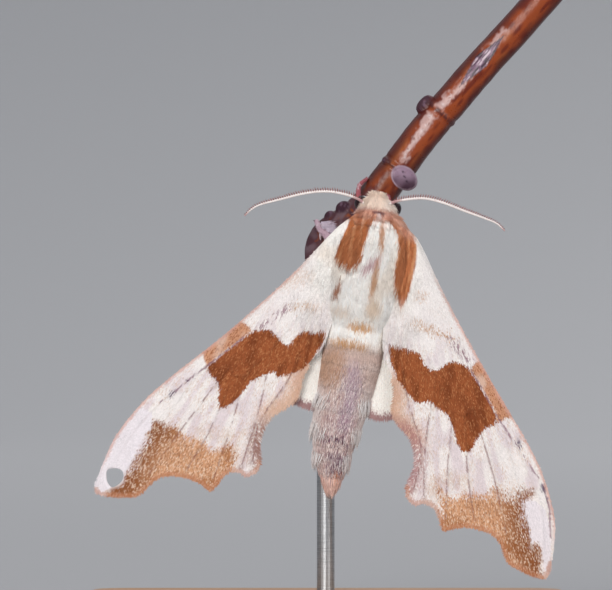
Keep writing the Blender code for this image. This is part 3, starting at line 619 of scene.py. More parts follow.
# Markings of the forewings in their own places, u away from the body: left worn, right unworn
BAND = {
    -1: (
        (9.52, 15.45), (8.65, 15.2), (8.09, 15.52), (7.51, 15.93), (6.59, 16.59), (6.27, 16.13),
        (5.79, 15.34), (5.18, 14.74), (4.17, 14.67), (2.91, 14.36), (3.04, 15.4), (3.45, 16.58),
        (3.98, 17.68), (4.54, 18.58), (5.37, 19.12), (6.22, 19.47), (7.06, 19.91), (7.46, 19.37),
        (8.02, 19.66), (8.84, 20.2), (9.56, 20.73), (10.04, 21.51), (10.59, 22.52), (11.16, 23.32),
        (11.99, 23.86), (12.4, 23.83), (12.56, 22.84), (12.62, 21.84), (13.03, 21.2), (13.94, 20.64),
        (14.2, 20.1), (12.86, 18.45), (11.06, 16.55), (10.2, 15.65),
    ),
    1: (
        (3.31, 14.56), (4.26, 14.81), (5.9, 14.94), (6.67, 15.32), (7.33, 16.23), (7.9, 16.64),
        (8.69, 16.51), (9.39, 15.79), (10.03, 15.38), (11.1, 15.6), (11.8, 15.9), (13.3, 17.6),
        (15.2, 20.0), (15.33, 21.09), (14.39, 21.55), (13.91, 22.34), (13.48, 23.42),
        (13.2, 24.18), (12.51, 24.29), (11.66, 23.42), (11.13, 22.09), (10.43, 20.88),
        (9.34, 20.45), (8.44, 19.89), (6.96, 20.14), (5.78, 19.12), (4.81, 18.16), (3.8, 16.3),
    ),
}
STRIP = {
    -1: (
        (10.2, 15.65), (10.88, 15.1), (12.4, 14.4), (17.0, 18.4), (14.8, 18.9), (14.2, 20.1),
        (12.86, 18.45), (11.06, 16.55),
    ),
    1: (
        (11.8, 15.9), (12.4, 15.0), (13.6, 14.2), (18.2, 19.6), (16.1, 20.4), (15.33, 21.09),
        (15.2, 20.0), (13.3, 17.6),
    ),
}
FIELD = {
    -1: (
        (19.18, 26.36), (18.24, 25.9), (17.4, 26.68), (16.5, 26.63), (15.43, 26.96), (14.43, 26.9),
        (13.59, 27.06), (12.65, 27.82), (11.6, 27.45), (10.58, 27.48), (10.06, 28.21), (9.9, 29.4),
        (9.3, 31.5), (12.0, 35.0), (22.2, 37.0), (22.6, 34.3), (21.57, 33.34), (20.77, 32.7),
        (19.97, 30.14), (18.9, 27.6),
    ),
    1: (
        (10.63, 28.25), (12.53, 28.75), (14.13, 27.98), (16.38, 27.51), (17.45, 27.84),
        (19.13, 27.56), (20.46, 27.04), (20.3, 27.8), (19.52, 28.1), (19.86, 29.57), (20.35, 30.7),
        (20.84, 32.45), (21.25, 31.87), (21.88, 32.58), (22.58, 35.0), (22.6, 37.0), (12.0, 35.0),
        (11.5, 32.4), (11.2, 30.2),
    ),
}
APEX = {
    -1: (
        (18.62, 27.0), (19.2, 27.6), (19.97, 30.14), (20.77, 32.7), (21.57, 33.34), (22.6, 34.3),
        (24.5, 33.0), (22.6, 28.0), (20.2, 25.0), (18.9, 25.4),
    ),
    1: (
        (19.52, 28.1), (19.86, 29.57), (20.35, 30.7), (20.84, 32.45), (21.25, 31.87), (21.88, 32.58),
        (22.58, 35.2), (23.0, 33.0), (22.5, 30.6), (21.6, 28.6), (20.6, 28.0),
    ),
}
DARK_LINES = {
    -1: (
        ((11.06, 16.5), (12.86, 18.45), (14.43, 20.11), (15.81, 21.55), (17.25, 23.31), (18.3, 24.29)),
    ),
    1: (
        ((11.6, 15.7), (13.3, 17.6), (15.2, 20.0), (16.9, 21.9), (18.0, 22.9), (20.1, 25.3),
         (21.1, 26.3), (22.1, 28.6), (22.7, 31.6)),
    ),
}
DARK_SPOTS = {
    -1: ((17.2, 23.25, 0.42), (15.9, 21.7, 0.2)),
    1: ((18.1, 22.6, 0.45), (21.2, 26.6, 0.5), (21.6, 27.7, 0.3)),
}
# Tan clouds on the white: middle u and v, half width, half length, tilt in degrees, strength
STAINS = {
    -1: (
        (7.0, 9.8, 2.6, 1.0, 18, 0.4), (5.6, 12.4, 2.0, 0.36, 8, 0.75), (4.4, 9.2, 1.0, 0.6, 0, 0.4),
        (12.2, 26.4, 2.8, 0.9, 0, 0.35), (9.4, 27.5, 1.0, 2.0, 0, 0.3), (13.4, 28.2, 1.2, 0.5, 0, -0.5),
    ),
    1: (
        (7.0, 12.6, 2.6, 0.34, 14, 0.8), (5.6, 9.5, 1.0, 0.5, 10, 0.7), (9.2, 13.2, 1.2, 0.25, 20, 0.6),
        (12.2, 27.2, 2.2, 0.9, 0, 0.4), (9.9, 28.2, 1.0, 1.2, 0, 0.35),
    ),
}
SPECKLES = {
    -1: ((7.2, 12.9), (8.4, 14.1), (9.5, 15.3)),
    1: ((9.5, 13.4), (10.8, 14.4), (11.9, 15.3)),
}


def worn(points):
    """Places of the unworn wing moved to where the worn one has them."""
    u, v = points[:, 0], points[:, 1]
    share = np.clip(u / (COSTA_START + COSTA_SLOPE * v), 0, 1)
    pull = WORN_COSTA_PULL * share ** 2 * (1 - (v / WORN_COSTA_END) ** WORN_COSTA_POWER)
    lift = WORN_TIP_LIFT * (np.maximum(u, 0) / WORN_REACH) ** 3
    return np.stack((u - pull, v - lift), axis=1)


def wing_height(u, v):
    """How far the wing's middle surface lies above the middle of the body."""
    share = np.clip(u / (COSTA_START + COSTA_SLOPE * v), 0, 1)
    roof = WING_ROOT_H - WING_DROOP * (u - WING_ROOT_U)
    return roof + WING_ARCH * np.sin(math.pi * share) - COSTA_CURL * share ** COSTA_CURL_POWER


def even_line(rows, step, closed=False):
    """Points about one step apart along the smooth line through rows."""
    rows = [tuple(row) for row in rows]
    if closed:
        rows = rows[-1:] + rows + rows[:2]
    fine = spline(rows, 60 * (len(rows) - 1) + 1)
    if closed:
        fine = fine[60:-60]
    lengths = np.concatenate(([0], np.cumsum(np.linalg.norm(np.diff(fine, axis=0), axis=1))))
    count = max(2, round(lengths[-1] / step))
    wanted = np.linspace(0, lengths[-1], count + 1)
    if closed:
        wanted = wanted[:-1]
    return np.stack([np.interp(wanted, lengths, fine[:, k]) for k in range(2)], axis=1)


class Wing:
    """One wing's outline, veins and heights in its own place, u away from the body."""

    def __init__(self, kind, side):
        self.side = side
        self.fore = kind == "forewing"
        place = worn if side < 0 else np.asarray
        outline = FOREWING_OUTLINE if self.fore else HINDWING_OUTLINE
        veins = FOREWING_VEINS if self.fore else HINDWING_VEINS
        self.outline = place(np.array(outline, float))
        self.edge = even_line(self.outline, EDGE_STEP, closed=True)
        self.veins = [even_line(place(np.array(vein, float)), 0.35) for vein in veins]
        self.under = 0.0 if self.fore else HINDWING_UNDER
        self.hole = even_line(WORN_HOLE, EDGE_STEP, closed=True) if self.fore and side < 0 else None
        self.name = f"{kind}_{'left' if side < 0 else 'right'}"
        self.slot = "wing_scales" if self.fore else "hindwing_scales"
        self.material = wing_material(self.slot)

    def to_vein(self, points, first=0):
        """How far flat places lie from the nearest vein."""
        return np.min([distance_to_line(points, vein) for vein in self.veins[first:]], axis=0)

    def to_edge(self, points, part):
        """How far flat places lie from one stretch of the edge."""
        return distance_to_line(points, even_line(self.outline[part], 0.3))

    def height(self, points, thick=0.0):
        """h of the membrane's middle, or of a face of it where thick is not 0."""
        gap = self.to_vein(points)
        ridge = RIDGE_HEIGHT * np.maximum(0, 1 - gap / RIDGE_HALF_WIDTH)
        ridge = ridge * (0.15 + 0.85 * ease(13, 19, points[:, 1]))
        trough = TROUGH_DEPTH * (1 - np.exp(-gap / 0.9)) * ease(9, 16, points[:, 1])
        wave = 0.07 * np.sin(1.1 * points[:, 0] + 0.7 * points[:, 1]) * np.sin(0.6 * points[:, 1])
        return wing_height(points[:, 0], points[:, 1]) - self.under + ridge - trough + wave + thick

    def frame(self, points):
        """Root places on the upper face, its outward way and the way out along the wing."""
        def at(shift_u, shift_v):
            moved = points + (shift_u, shift_v)
            rise = self.height(moved, MEMBRANE_THICK / 2)
            return np.stack((self.side * moved[:, 0], moved[:, 1], rise), axis=1)

        place = at(0, 0)
        out = unit(np.cross(at(0.1, 0) - at(-0.1, 0), at(0, 0.1) - at(0, -0.1)) * self.side)
        run = unit(points - (2.0, -6.0))
        ahead = np.stack((self.side * run[:, 0], run[:, 1], np.zeros(len(run))), axis=1)
        ahead = unit(ahead - out * (ahead * out).sum(axis=1, keepdims=True))
        return place, out, ahead


def forewing_tint(wing, points, rng, spread):
    """The colour of each scale: every one meets the markings a little early or late."""
    count, side = len(points), wing.side
    near = points + rng.normal(0, spread, (count, 2))
    far = points + rng.normal(0, 4 * spread, (count, 2))
    u, v = points.T
    grain, mix = rng.uniform(0, 1, (2, count)) if spread else np.full((2, count), 0.5)
    reach, turn = np.hypot(u - 2, v + 6), np.arctan2(u - 2, v + 6)
    streak = cloud(turn * 90, reach, 1.6, 6)
    broken = cloud(turn * 200, reach, 0.7, 9)
    wide = cloud(u, v, 1.5, 7)
    tint = tints("#f5efed", count)
    tint = laid_over(tint, "#dfd0d6", 0.7 * ease(0.35, 0.85, streak) * ease(9, 18, v))
    tint = laid_over(tint, "#d6b9a6", 0.6 * ease(0.5, 1.0, grain) * ease(6, 20, v) * ease(0.2, 0.7, wide))
    stain = sum(strength * soft_spot(*far.T, *oval) for *oval, strength in STAINS[side])
    tint = laid_over(tint, "#c2946c", np.clip(stain, 0, 1) * ease(0.1, 0.8, mix))
    rows = ease(0.7, 0.1, distance_to_line(near, SPECKLES[side])) * ease(0.5, 0.7, broken)
    tint = laid_over(tint, "#8d5f70", 0.8 * rows)
    inner = wing.to_edge(points, INNER_POINTS) + rng.uniform(0, 0.8, count)
    tint = laid_over(tint, "#d3a382", 0.8 * ease(2.6, 0.6, inner) * ease(16.5, 18.5, v) * ease(25.5, 23, v))
    code, start = ("#96614e", 23.2) if side < 0 else ("#ae7a78", 21.0)
    inner = ease(2.0, 0.5, inner) * ease(start, start + 2, v)
    tint = laid_over(tint, code, 0.85 * inner * ease(0.0, 0.4, grain))
    apex = depth_in(near, APEX[side])
    sand = laid_over(tints("#d6a17b", count), "#b47a50", ease(0.3, 0.8, wide) * ease(0.0, 0.6, mix))
    sand = laid_over(sand, "#8c522d", 0.95 * ease(-3.4, -0.6, apex))
    sand = laid_over(sand, "#f0d9c4", 0.7 * ease(0.55, 0.95, grain))
    sand = laid_over(sand, "#8f5530", 0.6 * ease(0.35, 0.05, grain))
    sand = laid_over(sand, "#8f5a3a", 0.5 * ease(0.6, 0.9, streak) * ease(0.5, 0.9, mix))
    field = ease(-0.35, 0.45, depth_in(far, FIELD[side]) + 0.9 * (wide - 0.5))
    tint = tint + (sand - tint) * field[:, None]
    tint = laid_over(tint, "#f0e9ee", ease(-0.04, 0.06, apex))
    strip = laid_over(tints("#cf9877", count), "#a0603f", ease(0.45, 0.95, grain))
    strip = laid_over(strip, "#e8cdbd", 0.6 * ease(0.55, 0.9, streak))
    tint = tint + (strip - tint) * ease(-0.05, 0.2, depth_in(near, STRIP[side]))[:, None]
    rust = laid_over(tints("#9f5730", count), "#80401f", ease(0.35, 0.85, streak))
    rust = laid_over(rust, "#cf8f5f", 0.55 * ease(0.7, 1.0, grain))
    rust = laid_over(rust, "#6e3414", 0.5 * ease(0.3, 0.0, grain))
    band = ease(-0.03, 0.09, depth_in(near, BAND[side]))
    tint = tint + (rust - tint) * band[:, None]
    vein = ease(0.1, 0.02, wing.to_vein(points, 2)) * ease(0.25, 0.5, broken)
    tint = laid_over(tint, "#8a5c5c", 0.65 * vein * ease(15, 19, v) * (1 - band) * (1 - 0.3 * field))
    tint = laid_over(tint, "#7b4529", 0.35 * vein * band)
    dark = np.min([distance_to_line(points, line) for line in DARK_LINES[side]], axis=0)
    tint = laid_over(tint, "#8b6474", 0.75 * ease(0.14, 0.04, dark) * ease(0.3, 0.5, broken))
    for spot_u, spot_v, radius in DARK_SPOTS[side]:
        aside, ahead = near[:, 0] - spot_u, near[:, 1] - spot_v
        spot = np.hypot(1.5 * (0.87 * aside - 0.49 * ahead), 0.65 * (0.49 * aside + 0.87 * ahead)) / radius
        tint = laid_over(tint, "#54415e", 0.9 * ease(1.1, 0.4, spot) * ease(0.2, 0.5, broken))
    costa = ease(0.34, 0.08, wing.to_edge(near, COSTA_POINTS)) * ease(6, 10, v) * ease(33, 29, v)
    tint = laid_over(tint, "#d9aca0", 0.8 * costa)
    rim = ease(0.4, 0.15, wing.to_edge(near, MARGIN_POINTS)) * ease(0.3, -0.1, apex)
    tint = laid_over(tint, "#c08160", 0.6 * rim)
    foot = ease(6.0, 4.4, u) * ease(12.5, 9.5, v)
    return tint + (body_tint(side * u, v, np.ones(count)) - tint) * foot[:, None]


def hindwing_tint(wing, points, rng, spread):
    """Cream along the inner strip, ochre beyond it, with a dark band and a brown-purple rim."""
    u, v = points.T
    grain = rng.uniform(0, 1, len(points))
    margin = wing.to_edge(points + rng.normal(0, spread, points.shape), HIND_MARGIN_POINTS)
    tint = laid_over(tints("#cf9a58", len(points)), "#b47c42", ease(0.3, 0.8, cloud(u, v, 1.2, 8)))
    tint = laid_over(tint, "#5d4234", 0.9 * ease(1.2, 2.2, margin) * ease(6.5, 4.5, margin))
    tint = laid_over(tint, "#dcc4ae", 0.45 * ease(0.6, 1.0, grain))
    tint = laid_over(tint, "#fffaf3", ease(6.2, 4.6, u))
    return laid_over(tint, "#98696a", 0.9 * ease(1.0, 0.4, margin + 0.4 * grain))


def wing_tint(wing, points, rng, spread=0.07):
    tint = (forewing_tint if wing.fore else hindwing_tint)(wing, points, rng, spread)
    return tint * rng.normal(1, 0.7 * spread, len(points))[:, None]


def wing_mesh(wing):
    """Flat points and triangles inside the wing's outline, with its veins as edges; a hole is left out."""
    points = [Vector(point) for point in wing.edge]
    count = len(points)
    constraints = [(k, (k + 1) % count) for k in range(count)]
    if wing.hole is not None:
        points += [Vector(point) for point in wing.hole]
        constraints += [(count + k, count + (k + 1) % len(wing.hole)) for k in range(len(wing.hole))]
    free = []
    for vein in wing.veins:
        first = len(points)
        points += [Vector(point) for point in vein]
        constraints += [(first + k, first + k + 1) for k in range(len(vein) - 1)]
        ahead = unit(np.diff(vein, axis=0))
        across = np.stack((-ahead[:, 1], ahead[:, 0]), axis=1) * RIDGE_HALF_WIDTH
        middle = (vein[:-1] + vein[1:]) / 2
        free += [middle + across, middle - across]
    free = np.concatenate(free)
    free = free[(wing.to_vein(free) > RIDGE_HALF_WIDTH * 0.9) & (depth_in(free, wing.edge) > 0.1)]
    grid = even_places(wing, SHEET_STEP)
    clear = (depth_in(grid, wing.edge) > 0.16) & (wing.to_vein(grid) > RIDGE_HALF_WIDTH + 0.12)
    if wing.hole is not None:
        clear &= depth_in(grid, wing.hole) < -0.1
    points += [Vector(point) for point in np.concatenate((free, grid[clear]))]
    flat, _, faces, _, _, _ = delaunay_2d_cdt(points, constraints, [list(range(count))], 1, 1e-5)
    flat = np.array([tuple(point) for point in flat])
    faces = np.array([face for face in faces if len(face) == 3])
    if wing.hole is not None:
        faces = faces[~inside(flat[faces].mean(axis=1), wing.hole)]
    used = np.unique(faces)
    renumber = np.zeros(len(flat), int)
    renumber[used] = np.arange(len(used))
    flat, faces = flat[used], renumber[faces]
    a, b, c = (flat[faces[:, k]] for k in range(3))
    turned = (b[:, 0] - a[:, 0]) * (c[:, 1] - a[:, 1]) - (b[:, 1] - a[:, 1]) * (c[:, 0] - a[:, 0]) < 0
    faces[turned] = faces[turned][:, ::-1]
    return flat, faces if wing.side > 0 else faces[:, ::-1]


def even_places(wing, step):
    """Rows of places about one step apart over the wing's whole width and length."""
    widest, longest = wing.edge.max(axis=0)
    v = np.arange(0, longest, step * 0.87)
    u = np.arange(0, widest, step)
    places = np.stack(np.meshgrid(u, v), axis=-1)
    places[1::2, :, 0] += step / 2
    return places.reshape(-1, 2)


def wing_membrane(wing, rng):
    """The thin wing, folded up along its veins, with both faces and a rim."""
    flat, faces = wing_mesh(wing)
    edges = np.concatenate([faces[:, (k, (k + 1) % 3)] for k in range(3)])
    _, index, times = np.unique(np.sort(edges, axis=1), axis=0, return_index=True, return_counts=True)
    rim = edges[index[times == 1]]
    total = len(flat)
    sides = np.stack((rim[:, 1], rim[:, 0], rim[:, 0] + total, rim[:, 1] + total), axis=1)
    place = [
        np.stack((wing.side * flat[:, 0], flat[:, 1], wing.height(flat, way * MEMBRANE_THICK / 2)), axis=1)
        for way in (1, -1)
    ]
    below = laid_over(tints("#d2b59d", total), "#b98f6e", 0.7 * ease(0.3, 0.8, cloud(*flat.T, 2.0, 12)))
    tint = np.concatenate((wing_tint(wing, flat, rng, 0), below))
    faces = [faces, faces[:, ::-1] + total, sides]
    thing = moth_piece(wing.name + "_membrane", np.concatenate(place), faces, wing.material, tint)
    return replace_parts(thing, wing.name)


def wing_coat(wing, rng, points, lie, length, width, lift, thick, sink, word):
    """Strands rooted at flat places on the wing, tinted as the wing is beneath their middles."""
    roots, out, _ = wing.frame(points)
    sway = rng.normal(0, 0.05, len(points))
    strands = strand_points(roots, out, lie, length, width, lift, sway, thick, sink)
    ahead = np.stack((wing.side * lie[:, 0], lie[:, 1]), axis=1)
    tint = wing_tint(wing, points + ahead * (length * 0.5)[:, None], rng)
    home = np.clip(points / WING_MAP_SIDE, 0, 1) * 0.9 + 0.04
    return coat_piece(f"{wing.name}_{word}", strands, out, lie, home, tint, wing.material)


def wing_scales(wing, rng, count):
    """Flat scales that overlap outwards over the upper face, a few of them lifted.

    They are coarser than real ones, so that they show at this size.
    """
    turned = np.roll(wing.edge, -1, axis=0)
    area = abs((wing.edge[:, 0] * turned[:, 1] - wing.edge[:, 1] * turned[:, 0]).sum()) / 2
    step = math.sqrt(area / count / 0.87)
    points = even_places(wing, step)
    points = points + rng.uniform(-0.5, 0.5, points.shape) * step
    clear = depth_in(points, wing.edge) > 0.06
    if wing.hole is not None:
        clear &= depth_in(points, wing.hole) < -0.25
    points = points[clear]
    _, out, ahead = wing.frame(points)
    lie = unit(ahead + unit(np.cross(ahead, out)) * rng.normal(0, 0.16, len(points))[:, None])
    lift = 0.03 + 0.06 * rng.uniform(0, 1, len(points)) ** 4
    wing_coat(wing, rng, points, lie, rng.uniform(0.22, 0.38, len(points)), 0.115, lift, 0.2, 0.0, "scales")


def wing_fringe(wing, rng, part, rows, length, word):
    """Rows of fine scales that stand out past one stretch of the wing's edge."""
    line = even_line(wing.outline[part], 0.05)
    ahead = unit(np.gradient(line, axis=0))
    outward = np.stack((-ahead[:, 1], ahead[:, 0]), axis=1)
    outward *= np.where(inside(line + outward * 0.1, wing.edge), -1, 1)[:, None]
    line, outward = np.repeat(line, rows, axis=0), np.repeat(outward, rows, axis=0)
    count = len(line)
    points = line - outward * rng.uniform(0.05, 0.35, count)[:, None] + rng.normal(0, 0.03, line.shape)
    _, _, along = wing.frame(points)
    way = np.stack((wing.side * outward[:, 0], outward[:, 1], rng.normal(-0.05, 0.1, count)), axis=1)
    lie = unit(unit(way) + along * 0.6)
    wing_coat(wing, rng, points, lie, length * rng.uniform(0.6, 1.15, count), 0.06, 0.0, 0.3, 0.0, word)


def wing_root_hair(wing, rng, count):
    """Long fine hair over the foot of the forewing, thinning out towards the scales."""
    points = rng.uniform((2.3, 3.7), (9.5, 17.0), (count * 5, 2))
    wanted = ease(9.5, 3.0, points[:, 0]) * ease(17.0, 13.0, points[:, 1])
    points = points[(rng.uniform(0, 1, len(points)) < wanted) & (depth_in(points, wing.edge) > 0.1)][:count]
    roots, _, ahead = wing.frame(points)
    lie = unit(ahead + np.array([0, 0.5, 0]) + rng.normal(0, 0.06, ahead.shape))
    length = rng.uniform(0.7, 1.3, len(points)) * (1 - 0.4 * ease(3.5, 8, points[:, 0]))
    lie, _ = gathered(roots, lie, length, rng, 10, 0.3)
    wing_coat(wing, rng, points, lie, length, 0.055, 0.05, 0.35, 0.04, "root_hair")


def build_wings():
    """Each wing's membrane with its scales and fringes, and hair over the foot of the forewings."""
    rng = np.random.default_rng(SEED + 1)
    for side in (-1, 1):
        fore, hind = Wing("forewing", side), Wing("hindwing", side)
        wing_membrane(fore, rng)
        wing_scales(fore, rng, FOREWING_SCALES)
        wing_fringe(fore, rng, MARGIN_POINTS, 4, 0.36, "margin_fringe")
        wing_fringe(fore, rng, INNER_POINTS, 4, 0.5, "inner_fringe")
        wing_fringe(fore, rng, COSTA_POINTS, 2, 0.18, "costa_fringe")
        wing_root_hair(fore, rng, WING_ROOT_HAIRS)
        wing_membrane(hind, rng)
        wing_scales(hind, rng, HINDWING_SCALES)
        wing_fringe(hind, rng, HIND_MARGIN_POINTS, 3, 0.5, "fringe")


# Twig, from the cut end past the top of the view to the cut end over the stand, as x, z
TWIG_ROUTE = (
    (22.8, 64.4), (18.9, 60.0), (16.6, 57.5), (14.3, 54.9), (12.7, 53.0), (11.1, 51.2),
    (9.6, 49.4), (8.3, 47.7), (7.2, 46.2), (6.2, 44.9), (5.1, 43.4), (3.9, 42.0), (2.6, 40.8),
    (1.3, 40.0), (0.1, 39.1), (-0.45, 38.0), (-0.5, 36.8), (-0.35, 35.5), (-0.2, 34.5), (-0.2, 33.5),
)
TWIG_Y = 4.5
TWIG_RADIUS = 1.81
TWIG_TOP_RADIUS = 1.62
TWIG_LEAN = math.radians(40)
# Swellings on it: x, z, off the axis towards the viewer, half width, half depth, half length
TWIG_KNOTS = (
    (9.8, 52.6, 0.3, 0.58, 0.78, 1.08),
    (6.15, 46.6, 0.8, 0.73, 0.68, 0.48),
    (7.75, 45.05, 1.15, 1.48, 0.98, 1.13),
    (1.7, 41.85, 0.7, 0.9, 0.83, 0.9),
    (0.3, 41.1, 0.5, 0.66, 0.63, 0.66),
)
LEAF_SCAR = (7.75, 45.05, 1.42, 1.1)
BARK_SCAR = (15.55, 56.85, 0.72, 3.3)
BARK_SCAR_LEAN = math.radians(41)
RING_SCARS = ((11.2, 51.9), (6.7, 46.3), (2.6, 41.0))
# The weathered streak down the bark's front, partly a painted highlight, as x, z
BARK_STREAK_AND_HIGHLIGHT = ((17.9, 60.0), (15.5, 56.9), (11.9, 52.7), (10.2, 51.2), (9.2, 49.2), (8.5, 48.2), (7.6, 46.9))


def twig_axis(rings):
    """Points of the twig's middle line and its radius at each."""
    line = spline(TWIG_ROUTE, rings)
    radii = TWIG_TOP_RADIUS + (TWIG_RADIUS - TWIG_TOP_RADIUS) * np.minimum(1, np.linspace(0, 2, rings))
    return np.stack((line[:, 0], np.full(rings, TWIG_Y), line[:, 1]), axis=1), radii


# Feelers, from inside the head out to the hooked tip, as u, v, h; the two are held differently
ANTENNA_ROUTES = {
    "left": (
        (0.9, 1.5, 0.5), (1.9, 0.9, 0.8), (3.44, 0.62, 1.2), (5.3, 0.66, 1.5), (7.4, 1.22, 1.6),
        (9.7, 2.2, 1.4), (11.5, 3.0, 1.1), (12.3, 3.6, 0.8), (12.9, 4.35, 0.4),
    ),
    "right": (
        (0.9, 1.2, 0.5), (1.5, 0.66, 0.8), (2.6, 0.2, 1.2), (4.5, -0.24, 1.5), (6.4, -0.13, 1.6),
        (8.6, 0.31, 1.5), (10.9, 0.75, 1.2), (12.1, 1.05, 0.9), (13.05, 1.65, 0.5),
    ),
}
ANTENNA_SHAFT = 0.15
ANTENNA_TIP = 0.07
ANTENNA_JOINT = 0.24
ANTENNA_SIDES = 14
# Rings of the shaft's mesh in each joint
JOINT_RINGS = 6
COMB_LENGTH = 0.42

EYE_RADIUS = 0.83
EYE_MIDDLE = 0.12
EYE_PLACE = (1.55, 1.3, -0.8)
PALP_ROUTE = ((0.6, 1.5, -1.3), (0.65, 0.8, -1.95), (0.5, 0.12, -1.85))
PALP_RADII = (0.46, 0.42, 0.24)

# Legs: hip inside the thorax, knee, ankle and foot, as u, v, h, then their radii
LEG_ROUTES = {
    "front_left": ((-1.0, 3.6, -2.2), (-1.5, 2.4, -4.8), (-2.05, -0.3, -6.5), (-1.25, -1.5, -8.2)),
    "front_right": ((1.0, 3.6, -2.2), (1.5, 2.4, -4.8), (1.3, 0.8, -6.2), (0.9, -0.3, -7.2)),
    "middle_left": ((-2.2, 6.2, -2.6), (-3.5, 5.6, -4.9), (-5.2, 4.4, -6.0), (-5.7, 3.7, -8.0)),
    "middle_right": ((2.3, 6.2, -2.6), (3.2, 5.4, -5.2), (1.2, 4.0, -6.8), (-0.9, 3.2, -8.2)),
    "hind_left": ((-2.2, 9.6, -2.6), (-5.0, 11.4, -4.9), (-6.6, 9.6, -6.4), (-5.8, 8.2, -8.4)),
    "hind_right": ((2.2, 9.6, -2.6), (3.0, 11.6, -5.4), (0.2, 10.4, -7.0), (-2.2, 9.2, -8.3)),
}
LEG_RADII = (0.54, 0.44, 0.3, 0.18)
FRONT_LEG_RADII = (0.5, 0.34, 0.2, 0.15)
# Where a leg's radii hold, its two main joints and its foot joints, as share of its length
LEG_PLACES = (0, 0.36, 0.7, 1)
MAIN_JOINTS = (0.37, 0.69)
FOOT_JOINTS = (0.78, 0.84, 0.9, 0.95)
# The pale patch on the left middle leg's shin: where its scales are rooted, as u, v and h
PATCH_SCALES = 420
PATCH_U = -5.0
PATCH_V = (3.7, 4.7)
PATCH_H = -5.55
# The two spurs below it
SPUR_ROUTES = (
    ((-4.9, 4.5, -5.9), (-4.7, 5.0, -6.2), (-4.5, 5.7, -6.3)),
    ((-5.0, 4.4, -5.9), (-5.1, 5.0, -6.1), (-5.0, 5.5, -6.3)),
)


def hair_on(name, path, radii, rng, count, length, width, lift, code, material):
    """Short hair or scales over a swept form, lying towards its far end."""
    path = np.asarray(path, float)
    sides = 24
    _, _, out, ahead = swept(path, radii, sides)
    ring = rng.integers(1, len(path) - 1, count)
    corner = rng.integers(0, sides, count)
    way = out[ring, corner]
    roots = path[ring] + way * np.asarray(radii)[ring][:, None] * 0.95
    roots = roots + ahead[ring] * rng.uniform(-0.1, 0.1, count)[:, None]
    lie = unit(ahead[ring] + way * 0.1 + rng.normal(0, 0.1, (count, 3)))
    points = strand_points(roots, way, lie, length * rng.uniform(0.7, 1.2, count), width, lift)
    tint = tints(code, count) * rng.normal(1, 0.09, count)[:, None]
    home = np.stack((corner / sides * 0.9 + 0.04, ring / len(path) * 0.9 + 0.04), axis=1)
    return coat_piece(name, points, way, lie, home, tint, material)


def build_antennae():
    """White scaled shafts, ringed at each joint, with a rosy-brown comb along the front.

    Each joint has a fan of four teeth, coarser than real ones, so that the comb shows.
    """
    rng = np.random.default_rng(SEED + 2)
    for side, word in ((-1, "left"), (1, "right")):
        fine = spline(ANTENNA_ROUTES[word], 400) * (side, 1, 1) + (0, 0.05, 0)
        lengths = np.concatenate(([0], np.cumsum(np.linalg.norm(np.diff(fine, axis=0), axis=1))))
        along = np.arange(0, lengths[-1], ANTENNA_JOINT / JOINT_RINGS)
        path = np.stack([np.interp(along, lengths, fine[:, k]) for k in range(3)], axis=1)
        share = along / lengths[-1]
        radii = ANTENNA_SHAFT + (ANTENNA_TIP - ANTENNA_SHAFT) * share ** 4
        radii = radii * (0.94 + 0.08 * np.cos(2 * math.pi * along / ANTENNA_JOINT))
        points, faces, _, ahead = swept(path, radii, ANTENNA_SIDES)
        place = np.concatenate((np.repeat(share, ANTENNA_SIDES), (0, 1)))
        tint = tints("#f7efec", len(points)) * rng.normal(1, 0.03, len(points))[:, None]
        base = ease(0.2, 0.08, place) * ease(0.4, 0.6, cloud(place * lengths[-1], 0 * place, 0.3, 14))
        tint = laid_over(tint, "#a4686c", 0.8 * base)
        tint = laid_over(tint, "#c0898a", 0.8 * ease(0.93, 1.0, place))
        shaft = moth_piece(f"antenna_{word}_shaft", points, faces, feeler_material(), tint)
        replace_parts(shaft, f"antenna_{word}")
        joints = np.arange(JOINT_RINGS // 2, len(path) - 4, JOINT_RINGS)
        rows = []
        for spread, reach in ((-1.0, 0.6), (-0.3, 1.0), (0.3, 1.0), (1.0, 0.6)):
            forward = unit(np.cross(ahead[joints], [0, 0, 1.0]))
            forward = forward * np.sign(-forward[:, 1:2])
            way = unit(forward * math.cos(spread) + np.array([0, 0, 1.0]) * math.sin(spread))
            long = COMB_LENGTH * reach * (1 - 0.6 * share[joints] ** 3) * ease(0.03, 0.12, share[joints])
            foot = path[joints] + way * radii[joints][:, None] * 0.6
            rows.append((foot, way, ahead[joints], share[joints], long))
        roots, way, lie, place, long = (np.concatenate(parts) for parts in zip(*rows))
        long = np.maximum(long * rng.uniform(0.85, 1.15, len(roots)), 0.06)
        way = unit(way + lie * 0.35)
        face = unit(np.cross(lie, way))
        face = face * np.sign(face[:, 2:])
        teeth = strand_points(roots, face, way, long, 0.1, 0.0)
        home = np.stack((0.1 + 0.8 * place, rng.uniform(0.1, 0.9, len(place))), axis=1)
        tint = tints("#8a4a44", len(roots)) * rng.normal(1, 0.12, len(roots))[:, None]
        coat_piece(f"antenna_{word}_comb", teeth, face, way, home, tint, feeler_material())


